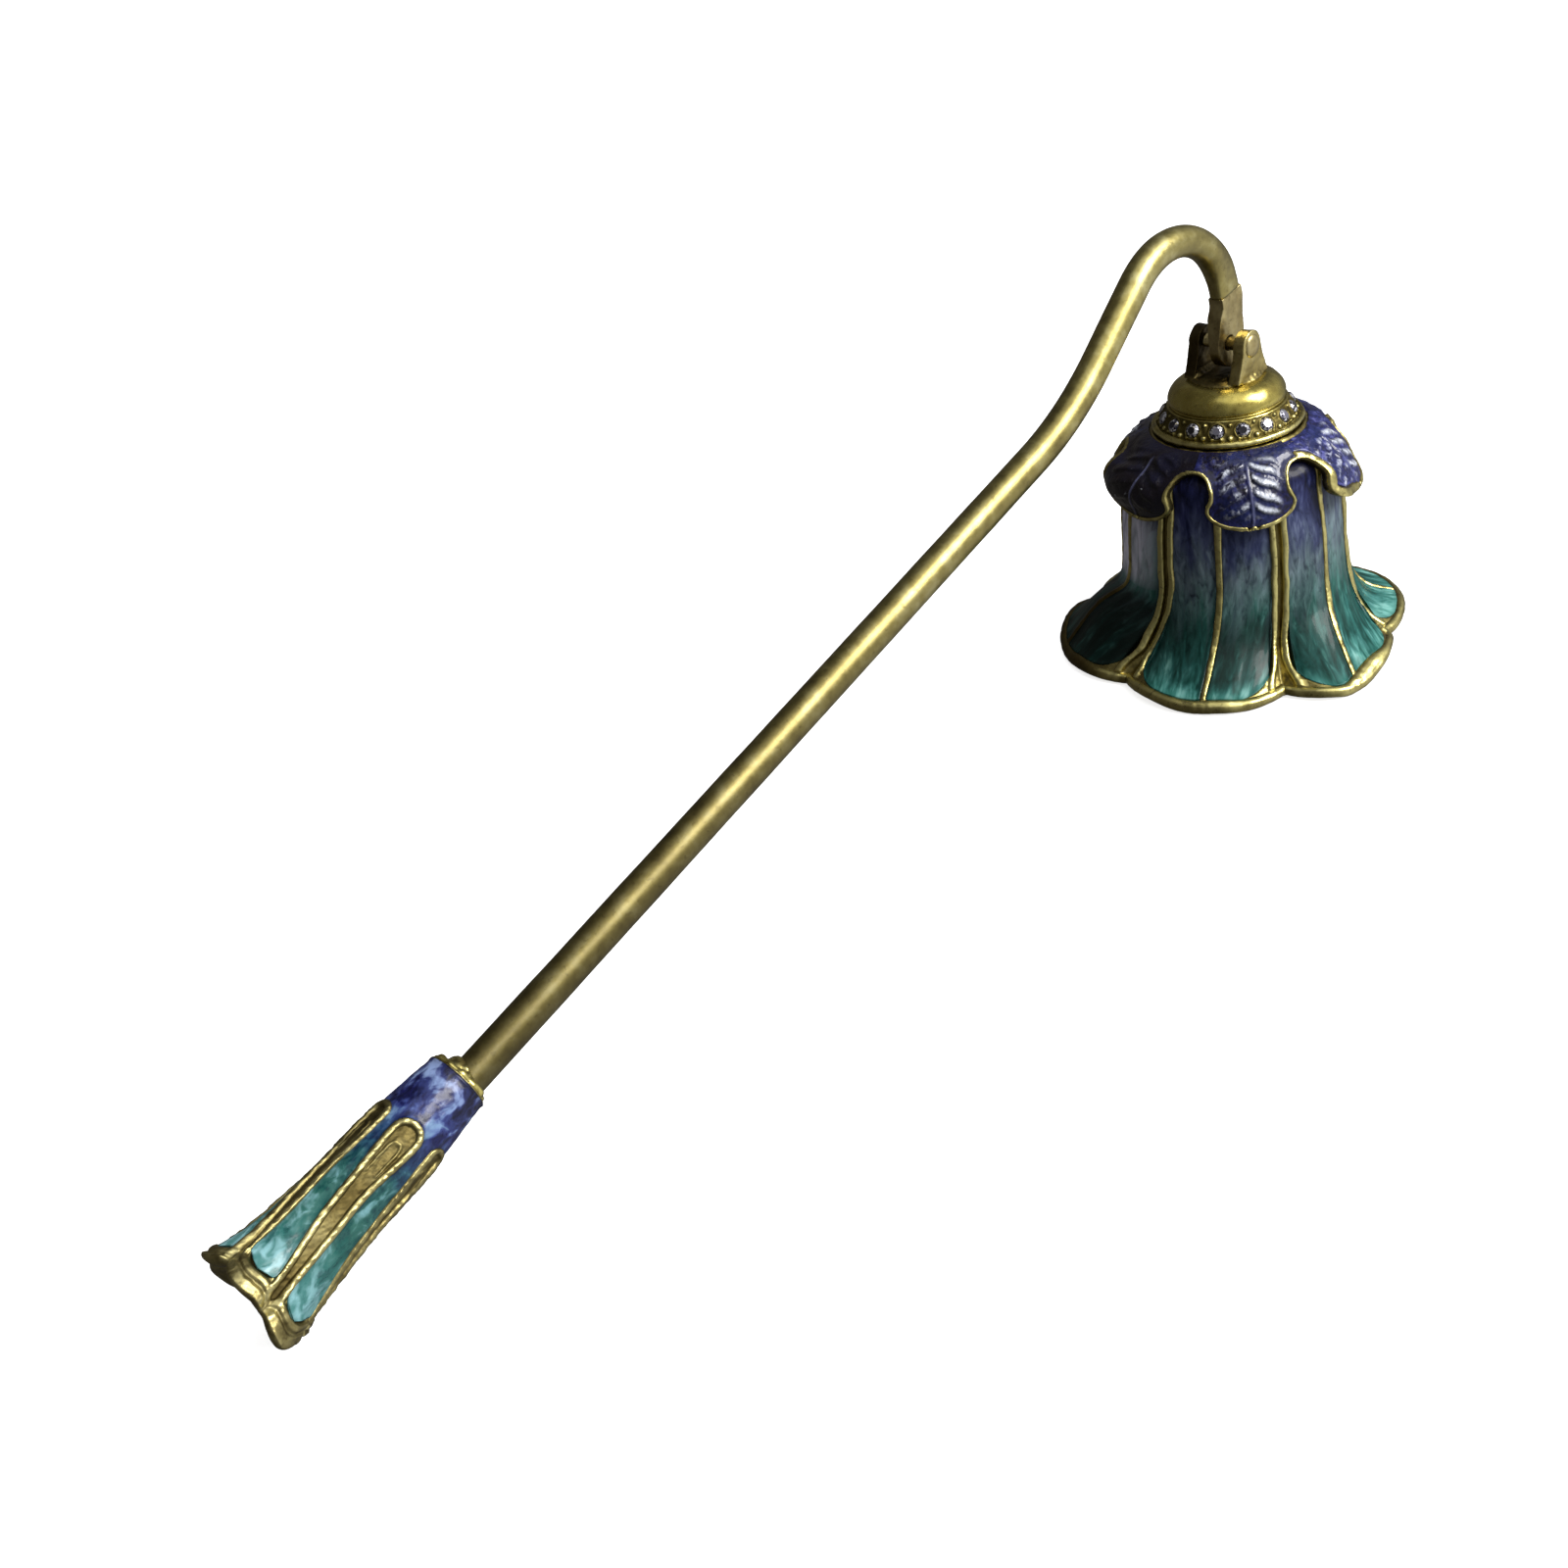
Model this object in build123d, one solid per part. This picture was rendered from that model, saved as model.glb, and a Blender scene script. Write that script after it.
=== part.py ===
from build123d import *
import math
import os

os.makedirs("parts", exist_ok=True)

# Enamelled brass candle snuffer, standing on its bell mouth with the end of
# its handle on the table.  Millimetres and degrees, +Z up, table at Z = 0.
# The origin is on the table under the middle of the whole snuffer, +X points
# from the handle to the bell, and the bell's axis is vertical at X = BELL_X.

# ---------------------------------------------------------------- dimensions
BELL_X = 71.58           # bell axis and pivot pin
PIN_Z = 42.4             # height of the pivot pin's axis
PIN_R = 0.90
PIN_HEAD_R = 1.55
PIN_HEAD_H = 0.70
EYE_R = 1.00             # hole in the tang, a running fit on the pin

ROD_R = 2.00             # brass tube, 4 mm outside
ROD_BORE_R = 1.30
ROD_SLOPE = 16.52        # straight part, above the horizontal
ROD_Z0 = 54.19           # height of the straight part's line at the bell axis
ROD_LEN = 154.0          # from the bell axis to the tube's hidden lower end
BEND_SLOPE = 38.7        # second straight part
BEND_R = 40.8
HOOK_CX, HOOK_CZ, HOOK_R = -11.10, 46.97, 11.84
HOOK_END = 10.3          # the tube stops this far before the hook's side

TANG_T = 1.50
EAR_Y0, EAR_Y1 = 2.70, 4.20
EAR_HALF = 2.05
SEAT_Z = 38.0            # top of the dome cap, under the fork's foot
FOOT_H = 0.5
TANG_EYE_R = 3.45

MOUTH_TIP_R = 24.8       # bell mouth at the middle of a petal
MOUTH_LOBE_R = 13.9      # radius of each petal's lip in plan
LIP_H = 1.30             # thickness of the turned-out lip
PETAL_0 = 54.0           # direction of the groove between two petals
ENAMEL_DEPTH = 0.42      # depth of the cells in the brass
ENAMEL_T = 0.34          # thickness of the enamel in them
LEAF_0 = 43.5            # direction of the middle of one collar leaf
LEAF_GAP = 5.4

STONES = 16
STONE_R = 0.95
STONE_0 = -133.1

HANDLE_S0 = 144.0        # handle's narrow end, measured down the rod
HANDLE_L = 27.9
HANDLE_UP = 0.925        # the handle casting sits a little off the rod's line
HANDLE_TILT = 0.72
HANDLE_TURN = 13.4       # brings one arch round to face up and out


def pnt(x, z, y=0.0):
    return (BELL_X + x, y, z)


def turned(points, close=True):
    """Solid of revolution about the bell axis from (radius, height) corners;
    a list inside the list is a smooth curve through its points."""
    edges, last, first = [], None, None
    for item in points:
        if isinstance(item, list):
            if last is not None and last != item[0]:
                edges.append(Line((last[0], 0, last[1]), (item[0][0], 0, item[0][1])))
            edges.append(Spline(*[(r, 0, z) for r, z in item]))
            first = first or item[0]
            last = item[-1]
        else:
            if last is not None:
                edges.append(Line((last[0], 0, last[1]), (item[0], 0, item[1])))
            first = first or item
            last = item
    if close and last != first:
        edges.append(Line((last[0], 0, last[1]), (first[0], 0, first[1])))
    face = make_face(Wire(edges))
    return revolve(face, axis=Axis.Z)


def offset_curve(curve, inward):
    """Points moved square to the curve; positive is towards the axis side."""
    out = []
    dist = inward if curve[-1][1] < curve[0][1] else -inward
    for i, (r, z) in enumerate(curve):
        r0, z0 = curve[max(i - 1, 0)]
        r1, z1 = curve[min(i + 1, len(curve) - 1)]
        tr, tz = r1 - r0, z1 - z0
        n = math.hypot(tr, tz)
        out.append((r + dist * tz / n, z - dist * tr / n))
    return out


def sector(a0, a1, radius, z0, z1):
    """Pie slice between two directions."""
    pts = [(0, 0), (radius * math.cos(math.radians(a0)), radius * math.sin(math.radians(a0))),
           (radius * math.cos(math.radians(a1)), radius * math.sin(math.radians(a1)))]
    return Pos(0, 0, z0) * extrude(make_face(Polyline(*pts, close=True)), amount=z1 - z0)


def lobes(tip_r, lobe_r, start, z0, z1):
    """Six-petalled plate: six discs whose outermost points are at tip_r."""
    body = None
    for k in range(6):
        a = math.radians(start + 60 * k)
        c = tip_r - lobe_r
        disc = Pos(c * math.cos(a), c * math.sin(a), z0) * extrude(Circle(lobe_r), amount=z1 - z0)
        body = disc if body is None else body + disc
    return body


def to_bell(shape):
    return Pos(BELL_X, 0, 0) * shape


def save(shape, name):
    items = list(shape.solids())
    out = items[0] if len(items) == 1 else Compound(children=items)
    out.label = name
    export_step(out, "parts/%s.step" % name)


# ---------------------------------------------------------------- bell shell
# Outer surface from the shoulder down to the lip, as (radius, height).
OUTER = [(12.9, 28.6), (14.2, 25.6), (14.75, 20.5), (14.95, 15.5), (15.35, 11.5),
         (16.4, 8.0), (18.6, 5.0), (21.6, 2.7), (25.0, LIP_H)]
INNER = [(20.9, 0.0), (18.7, 2.2), (16.4, 4.9), (14.85, 8.2), (14.1, 11.8),
         (13.75, 15.5), (13.55, 20.5), (13.0, 25.2), (11.6, 27.9)]

shell = turned([(1.6, 30.6), (9.0, 30.6), OUTER, (25.0, 0.0), INNER, (9.0, 29.4), (1.6, 29.4)])
shell = shell & lobes(MOUTH_TIP_R, MOUTH_LOBE_R, PETAL_0 + 30, -1, 40)

# Enamel cells: two to a petal, between the pair of ribs along each groove and
# the single rib up the petal's middle.
CELL = OUTER[1:]
floor = offset_curve(CELL, ENAMEL_DEPTH)
glass = offset_curve(CELL, ENAMEL_DEPTH - ENAMEL_T)
proud = offset_curve(CELL, -0.6)
cutter = turned([floor, list(reversed(proud))])
layer = turned([floor, list(reversed(glass))])
inside_lip = lobes(MOUTH_TIP_R - 1.3, MOUTH_LOBE_R - 1.3, PETAL_0 + 30, -1, 40)
cutter = cutter & inside_lip
layer = layer & inside_lip
enamel = []
for k in range(6):
    pair = []
    for a0, a1 in ((4.6, 28.6), (31.4, 55.4)):
        w = sector(PETAL_0 + 60 * k + a0, PETAL_0 + 60 * k + a1, 40, 0.2, 25.4)
        pair.append(layer & w)
        shell = shell - (cutter & w)
    enamel.append(pair)

# ---------------------------------------------------------------- leaf collar
COLLAR_OUT = [(9.9, 31.35), (12.4, 30.85), (14.2, 29.6), (15.3, 27.4), (15.9, 25.0), (16.5, 22.5)]
collar_in = offset_curve(COLLAR_OUT, 0.95)
collar_in[0] = (9.8, 30.6)
skin_in = offset_curve(COLLAR_OUT, 0.32)
skin_top = offset_curve(COLLAR_OUT, 0.04)
skin_cut = offset_curve(COLLAR_OUT, -0.6)
collar = turned([(1.6, 31.35), COLLAR_OUT, list(reversed(collar_in)), (1.6, 30.6)])
collar_skin = turned([skin_in, list(reversed(skin_top))])
collar_cell = turned([skin_in, list(reversed(skin_cut))])


def leaf_gaps(width, top_z):
    gaps = None
    for k in range(6):
        a = LEAF_0 + 30 + 60 * k
        slot = Pos(15, 0, (top_z - width / 2 + 10) / 2) * Box(14, width, top_z - width / 2 - 10)
        arch = Pos(8, 0, top_z - width / 2) * (Rot(0, 90, 0) * extrude(Circle(width / 2), amount=14))
        g = Rot(0, 0, a) * (slot + arch)
        gaps = g if gaps is None else gaps + g
    return gaps


collar = collar - leaf_gaps(LEAF_GAP, 29.1)
edge_cut = leaf_gaps(LEAF_GAP + 1.2, 29.7)
hem = Pos(0, 0, 10) * (extrude(Circle(30), amount=13.3))
hub = Pos(0, 0, 29) * extrude(Circle(10.6), amount=4)
leaf_skin = collar_skin - edge_cut - hem - hub
collar = collar - (collar_cell - edge_cut - hem - hub)

# ---------------------------------------------------------------- stone band
band = turned([(6.2, 31.35), (9.75, 31.35), (9.95, 31.65), (9.75, 32.0), (9.45, 32.05),
               (7.95, 34.35), (7.45, 34.6), (6.2, 34.6)])
CONE_TILT = math.degrees(math.atan2(34.35 - 32.05, 9.45 - 7.95))
STONE_MID_R, STONE_MID_Z = 8.70, 33.20


def stone(scale=1.0):
    r = STONE_R * scale
    table, girdle, culet = 0.42, 0.0, -0.62 * scale
    return revolve(make_face(Polyline((0, 0, culet), (r, 0, girdle - 0.05), (r, 0, girdle + 0.05),
                                      (0.55 * r, 0, table), (0, 0, table), close=True)), axis=Axis.Z)


stones = []
for k in range(STONES):
    a = STONE_0 + 360.0 / STONES * k
    place = Rot(0, 0, a) * Pos(STONE_MID_R, 0, STONE_MID_Z) * Rot(0, 90 - (90 - CONE_TILT), 0)
    stones.append(place * stone())
    seat = place * (stone(1.02) + Pos(0, 0, 0) * extrude(Circle(STONE_R * 1.02), amount=1.2))
    band = band - seat

# ---------------------------------------------------------------- dome cap
cap = turned([(2.65, SEAT_Z), (4.8, SEAT_Z), [(4.8, SEAT_Z), (6.1, 37.65), (7.2, 36.8), (7.75, 35.6), (7.55, 34.95)],
              (7.2, 34.6), (6.2, 34.6), (6.0, 35.6), (5.0, 36.5), (2.65, 36.5)])

# ---------------------------------------------------------------- clevis fork
fork = Pos(0, 0, SEAT_Z) * extrude(Circle(4.7), amount=FOOT_H)
for side in (-1, 1):
    low_y = EAR_Y0 if side > 0 else -EAR_Y1
    foot_z = SEAT_Z + FOOT_H / 2
    ear = Pos(0, (EAR_Y0 + EAR_Y1) / 2 * side, (foot_z + PIN_Z) / 2) * Box(2 * EAR_HALF, EAR_Y1 - EAR_Y0, PIN_Z - foot_z)
    top = Pos(0, low_y, PIN_Z) * (Rot(-90, 0, 0) * extrude(Circle(EAR_HALF), amount=EAR_Y1 - EAR_Y0))
    fork = fork + ear + top
fork = fork + Pos(0, 0, 31.35) * extrude(Circle(2.6), amount=SEAT_Z - 31.35 + 0.2)
fork = fork - Pos(0, 0, 31.0) * extrude(Circle(1.5), amount=6.2)
fork = fork - Pos(0, -6, PIN_Z) * (Rot(-90, 0, 0) * extrude(Circle(PIN_R + 0.01), amount=12))

# ---------------------------------------------------------------- pivot pin
# Plain rivet through both ears, closed over into a low dome at each end.
half = EAR_Y1
pin = turned([(0, -half - PIN_HEAD_H), [(0, -half - PIN_HEAD_H), (PIN_HEAD_R * 0.72, -half - PIN_HEAD_H * 0.7), (PIN_HEAD_R, -half)],
              (PIN_R, -half), (PIN_R, half), [(PIN_HEAD_R, half), (PIN_HEAD_R * 0.72, half + PIN_HEAD_H * 0.7), (0, half + PIN_HEAD_H)]])
pin = Pos(0, 0, PIN_Z) * (Rot(-90, 0, 0) * pin)

# ---------------------------------------------------------------- crown screw
washer = turned([(1.6, 28.8), (3.4, 28.8), (3.4, 29.4), (1.6, 29.4)])
screw = turned([(0, 27.0), (2.4, 27.0), (2.8, 27.4), (2.8, 28.8), (1.46, 28.8), (1.46, 36.6), (0, 36.6)])
screw = screw - Pos(0, 0, 27.0) * Box(6.2, 0.8, 1.8)

# ---------------------------------------------------------------- rod tube
ps, ca = math.radians(ROD_SLOPE), math.radians(BEND_SLOPE)
hook_a0 = math.radians(90 + BEND_SLOPE)
hook_a1 = math.radians(HOOK_END)


def hook_pt(a, r=HOOK_R):
    return (HOOK_CX + r * math.cos(a), HOOK_CZ + r * math.sin(a))


H = hook_pt(hook_a0)
VX = (ROD_Z0 - H[1] + math.tan(ca) * H[0]) / (math.tan(ca) - math.tan(ps))
V = (VX, ROD_Z0 + math.tan(ps) * VX)
cut = BEND_R * math.tan((ca - ps) / 2)
A = (V[0] - cut * math.cos(ps), V[1] - cut * math.sin(ps))
B = (V[0] + cut * math.cos(ca), V[1] + cut * math.sin(ca))
C = (A[0] - BEND_R * math.sin(ps), A[1] + BEND_R * math.cos(ps))
mid_a = (ps + ca) / 2 - math.pi / 2
M = (C[0] + BEND_R * math.cos(mid_a), C[1] + BEND_R * math.sin(mid_a))
S = (-ROD_LEN * math.cos(ps), ROD_Z0 - ROD_LEN * math.sin(ps))
E = hook_pt(hook_a1)
path = Wire([Line(pnt(*S), pnt(*A)), ThreePointArc(pnt(*A), pnt(*M), pnt(*B)), Line(pnt(*B), pnt(*H)),
             ThreePointArc(pnt(*H), pnt(*hook_pt((hook_a0 + hook_a1) / 2)), pnt(*E))])
start = Plane(origin=pnt(*S), z_dir=(math.cos(ps), 0, math.sin(ps)))
tube = sweep(start * Circle(ROD_R), path=path) - sweep(start * Circle(ROD_BORE_R), path=path)

# ---------------------------------------------------------------- pivot tang
# Flat blade with an eye, and a round spigot that fills the tube's end.
er = (math.cos(hook_a1), math.sin(hook_a1))
outline = [(E[0] - 1.95 * er[0], E[1] - 1.95 * er[1]), (E[0] + 1.95 * er[0], E[1] + 1.95 * er[1]),
           (3.30, 45.2), (3.40, 42.3), (-3.10, 42.3), (-2.10, 45.2)]
blade = extrude(make_face(Polyline(*[pnt(x, z) for x, z in outline], close=True)), amount=TANG_T / 2, both=True)
eye = Pos(BELL_X + 0.10, -TANG_T / 2, PIN_Z) * (Rot(-90, 0, 0) * extrude(Circle(TANG_EYE_R), amount=TANG_T))
spig_a = hook_a1 + 4.0 / HOOK_R
spig_path = Wire([ThreePointArc(pnt(*E), pnt(*hook_pt((hook_a1 + spig_a) / 2)), pnt(*hook_pt(spig_a)))])
spigot = sweep(Plane(origin=pnt(*E), z_dir=(-math.sin(hook_a1), 0, math.cos(hook_a1))) * Circle(ROD_BORE_R - 0.02), path=spig_path)
tang = blade + eye + spigot
tang = tang - Pos(BELL_X, -3, PIN_Z) * (Rot(-90, 0, 0) * extrude(Circle(EYE_R), amount=6))

# ---------------------------------------------------------------- handle
# Modelled upright about its own axis, narrow end at 0, then laid along the rod.
HANDLE_OUT = [(3.52, 0.0), (3.72, 2.6), (4.02, 5.6), (4.22, 9.0), (4.32, 14.0), (4.80, 20.0), (5.60, 24.0), (6.40, 26.4), (7.10, HANDLE_L)]
HANDLE_IN = [(6.15, HANDLE_L), (5.35, 26.2), (4.55, 24.0), (3.70, 20.5), (3.20, 16.0)]
handle = turned([(0, 0.0), HANDLE_OUT, HANDLE_IN, (0, 16.0)])
handle = handle & lobes(6.90, 4.20, 30, -1, 40)
h_layer = [p for p in HANDLE_OUT if p[1] < 27]
h_layer = [(3.59, 0.9)] + h_layer[1:]
h_floor = offset_curve(h_layer, 0.30)
h_glass = offset_curve(h_layer, 0.05)
h_proud = offset_curve(h_layer, -0.6)
h_cut = turned([h_floor, list(reversed(h_proud))])
h_skin = turned([h_floor, list(reversed(h_glass))])
arches = None
for k in range(6):
    slot = Pos(8, 0, (7.7 + 30) / 2) * Box(16, 2.7, 30 - 7.7)
    head = Pos(0, 0, 7.7) * (Rot(0, 90, 0) * extrude(Circle(1.75), amount=16))
    a = Rot(0, 0, 60 * k) * (slot + head)
    arches = a if arches is None else arches + a
h_cut = h_cut - arches
h_skin = h_skin - arches
handle = handle - h_cut

up = (-math.sin(ps), 0, math.cos(ps))
down = (-math.cos(ps), 0, -math.sin(ps))
hx = BELL_X - HANDLE_S0 * math.cos(ps) + HANDLE_UP * up[0]
hz = ROD_Z0 - HANDLE_S0 * math.sin(ps) + HANDLE_UP * up[2]
lift = math.tan(math.radians(HANDLE_TILT))
axis = Vector(down[0] + lift * up[0], 0, down[2] + lift * up[2]).normalized()
lay = Plane(origin=(hx, 0, hz), x_dir=(up[0], 0, up[2]), z_dir=axis).location


def laid(shape):
    """Handle frame to the snuffer's frame; the bell offset is already in lay."""
    return lay * (Rot(0, 0, HANDLE_TURN) * shape)


bore = Plane(origin=pnt(-HANDLE_S0 * math.cos(ps) + 6 * math.cos(ps), ROD_Z0 - HANDLE_S0 * math.sin(ps) + 6 * math.sin(ps)),
             z_dir=down)
rod_hole = bore * extrude(Circle(ROD_R + 0.01), amount=6 + (ROD_LEN - HANDLE_S0) + 0.1)
handle = laid(handle) - rod_hole
handle_skin = laid(h_skin)
ring = laid(turned([(2.88, -0.75), (3.05, -0.80), (3.24, -0.60), (3.28, 0.0), (2.88, 0.0)])) - rod_hole
ferrule = laid(turned([(0.5, -1.25), (2.5, -1.25), (2.80, -0.95), (2.84, 0.0), (0.5, 0.0)])) - rod_hole

# ---------------------------------------------------------------- write nodes
save(tube, "rod_tube")
save(tang, "pivot_tang")
save(ferrule, "rod_ferrule")
save(handle, "handle_body")
save(ring, "handle_ring")
save(handle_skin, "handle_enamel")
save(to_bell(pin), "pivot_pin")
save(to_bell(fork), "clevis_fork")
save(to_bell(cap), "dome_cap")
save(to_bell(band), "stone_band")
save(Compound(children=[to_bell(s) for s in stones]), "rhinestones")
save(to_bell(collar), "leaf_collar")
save(to_bell(leaf_skin), "leaf_enamel")
save(to_bell(shell), "bell_shell")
for k, pair in enumerate(enamel):
    save(Compound(children=[to_bell(p) for p in pair]), "petal_enamel_%d" % (k + 1))
save(to_bell(washer), "crown_washer")
save(to_bell(screw), "crown_screw")
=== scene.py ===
import bpy
import bmesh
import math
import numpy as np
from mathutils import Matrix, Vector
from mathutils.geometry import tessellate_polygon


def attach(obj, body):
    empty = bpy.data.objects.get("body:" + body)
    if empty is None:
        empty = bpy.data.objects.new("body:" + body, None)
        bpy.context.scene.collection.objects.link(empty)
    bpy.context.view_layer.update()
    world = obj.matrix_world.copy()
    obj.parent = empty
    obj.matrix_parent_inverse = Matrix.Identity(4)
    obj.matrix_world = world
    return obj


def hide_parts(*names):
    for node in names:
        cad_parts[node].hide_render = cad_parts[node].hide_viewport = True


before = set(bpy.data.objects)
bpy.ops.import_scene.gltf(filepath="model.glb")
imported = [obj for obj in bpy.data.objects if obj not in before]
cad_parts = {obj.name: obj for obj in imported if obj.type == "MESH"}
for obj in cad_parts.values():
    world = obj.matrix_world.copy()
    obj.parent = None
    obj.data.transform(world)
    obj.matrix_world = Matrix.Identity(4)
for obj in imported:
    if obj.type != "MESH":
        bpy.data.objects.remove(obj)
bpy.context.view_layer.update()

MM = 0.001
BX = 71.58          # bell axis
PIN_Z = 42.4
TAU = 2 * math.pi


# ================================================================ small maths
def smooth(x):
    x = np.clip(x, 0.0, 1.0)
    return x * x * (3 - 2 * x)


def step_between(x, a, b):
    return smooth((np.asarray(x, float) - a) / (b - a))


def bump(x):
    """1 at 0, falling smoothly to 0 at +-1."""
    x = np.clip(np.abs(x), 0.0, 1.0)
    return 0.5 + 0.5 * np.cos(math.pi * x)


def dome(x):
    """Round bead section: 1 at 0, 0 at +-1, upright at the sides."""
    x = np.clip(np.abs(x), 0.0, 1.0)
    return np.sqrt(np.maximum(0.0, 1 - x * x)) ** 0.8


class Cubic:
    """Natural cubic spline through (x, y)."""

    def __init__(self, xs, ys):
        x, y = np.array(xs, float), np.array(ys, float)
        n = len(x)
        h = np.diff(x)
        a = np.zeros((n, n))
        b = np.zeros(n)
        a[0, 0] = a[-1, -1] = 1
        for i in range(1, n - 1):
            a[i, i - 1], a[i, i], a[i, i + 1] = h[i - 1], 2 * (h[i - 1] + h[i]), h[i]
            b[i] = 6 * ((y[i + 1] - y[i]) / h[i] - (y[i] - y[i - 1]) / h[i - 1])
        self.m = np.linalg.solve(a, b)
        self.x, self.y, self.h = x, y, h

    def __call__(self, t):
        t = np.asarray(t, float)
        tc = np.clip(t, self.x[0], self.x[-1])
        i = np.clip(np.searchsorted(self.x, tc) - 1, 0, len(self.h) - 1)
        h = self.h[i]
        a, b = (self.x[i + 1] - tc) / h, (tc - self.x[i]) / h
        return (a * self.y[i] + b * self.y[i + 1]
                + ((a ** 3 - a) * self.m[i] + (b ** 3 - b) * self.m[i + 1]) * h * h / 6)


def waves(p, size, seed, octaves=2):
    """Smooth seeded noise of about +-1 over points in mm; size is its grain in mm."""
    g = np.random.default_rng(seed)
    p = np.asarray(p, float)
    out, total = np.zeros(p.shape[:-1]), 0.0
    for o in range(octaves):
        amp = 0.55 ** o
        for _ in range(7):
            d = g.normal(size=3)
            d = d / np.linalg.norm(d) * g.uniform(0.6, 1.5) * TAU / (size / 2 ** o) / 1.6
            out += amp * np.sin(p @ d + g.uniform(0, TAU))
        total += amp * math.sqrt(7 / 2) * 1.5
    return out / total


def unit(v):
    return v / np.maximum(np.linalg.norm(v, axis=-1, keepdims=True), 1e-12)


# ================================================================ mesh making
def make(name, verts, faces, body, nodes, mats, attrs=None, flat=False, face_mat=None):
    """Mesh piece from points in mm; faces is a list of index arrays (quads and/or triangles)."""
    me = bpy.data.meshes.new(name)
    verts = np.asarray(verts, float).reshape(-1, 3) * MM
    groups = [np.asarray(f, np.int64) for f in faces if len(f)]
    counts = np.concatenate([np.full(len(f), f.shape[1]) for f in groups])
    loops = np.concatenate([f.ravel() for f in groups])
    me.vertices.add(len(verts))
    me.vertices.foreach_set("co", verts.astype(np.float32).ravel())
    me.loops.add(len(loops))
    me.loops.foreach_set("vertex_index", loops.astype(np.int32))
    me.polygons.add(len(counts))
    me.polygons.foreach_set("loop_start", np.concatenate([[0], np.cumsum(counts)[:-1]]).astype(np.int32))
    me.update(calc_edges=True)
    for key, val in (attrs or {}).items():
        val = np.asarray(val, np.float32)
        if val.ndim == 1:
            me.attributes.new(key, "FLOAT", "POINT").data.foreach_set("value", val)
        else:
            me.attributes.new(key, "FLOAT_VECTOR", "POINT").data.foreach_set("vector", val.ravel())
    for m in mats if isinstance(mats, (list, tuple)) else [mats]:
        me.materials.append(m)
    if face_mat is not None:
        me.polygons.foreach_set("material_index", np.asarray(face_mat, np.int32))
    bm = bmesh.new()
    bm.from_mesh(me)
    bmesh.ops.recalc_face_normals(bm, faces=bm.faces)
    bm.to_mesh(me)
    bm.free()
    me.polygons.foreach_set("use_smooth", np.full(len(me.polygons), not flat))
    me.update()
    obj = bpy.data.objects.new(name, me)
    bpy.context.scene.collection.objects.link(obj)
    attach(obj, body)
    if nodes:
        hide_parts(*nodes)
    return obj


def grid_faces(nu, nv, closed_u=False, closed_v=False, base=0):
    iu = np.arange(nu if closed_u else nu - 1)
    iv = np.arange(nv if closed_v else nv - 1)
    a, b = np.meshgrid(iu, iv, indexing="ij")
    a2, b2 = (a + 1) % nu, (b + 1) % nv
    q = np.stack([a * nv + b, a2 * nv + b, a2 * nv + b2, a * nv + b2], -1).reshape(-1, 4)
    return q + base


def two_sided(outer, inner, faces):
    """Closed solid from a sheet of faces with an outer and an inner set of points."""
    n = len(outer)
    f = faces
    e = np.concatenate([f[:, [0, 1]], f[:, [1, 2]], f[:, [2, 3]], f[:, [3, 0]]])
    e = e[e[:, 0] != e[:, 1]]
    key = np.sort(e, 1)
    _, idx, cnt = np.unique(key, axis=0, return_index=True, return_counts=True)
    rim = e[idx[cnt == 1]]
    side = np.stack([rim[:, 1], rim[:, 0], rim[:, 0] + n, rim[:, 1] + n], 1)
    return np.concatenate([outer, inner]), np.concatenate([f, f[:, ::-1] + n, side])


def weld(keys, faces):
    """Joins sheet points with the same key and drops faces that vanish."""
    k = np.round(np.asarray(keys, float), 5)
    _, first, inv = np.unique(k, axis=0, return_index=True, return_inverse=True)
    inv = inv.reshape(-1)
    f = inv[faces]
    s = np.sort(f, 1)
    keep = (np.diff(s, axis=1) == 0).sum(1) <= 1
    return first, f[keep]


def split_faces(f):
    """Quads with a repeated corner become triangles."""
    bad = (f == np.roll(f, -1, 1)).any(1)
    quads, tris = f[~bad], []
    for q in f[bad]:
        t = [q[i] for i in range(4) if q[i] != q[(i + 1) % 4]]
        if len(t) == 3:
            tris.append(t)
    return [quads] + ([np.array(tris)] if tris else [])


def grid_normals(p, closed_u=True):
    du = (np.roll(p, -1, 0) - np.roll(p, 1, 0)) if closed_u else np.gradient(p, axis=0)
    dv = np.gradient(p, axis=1)
    return unit(np.cross(du, dv))


def at_bell(r, th, z):
    return np.stack([BX + r * np.cos(th), r * np.sin(th), z], -1)


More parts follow.
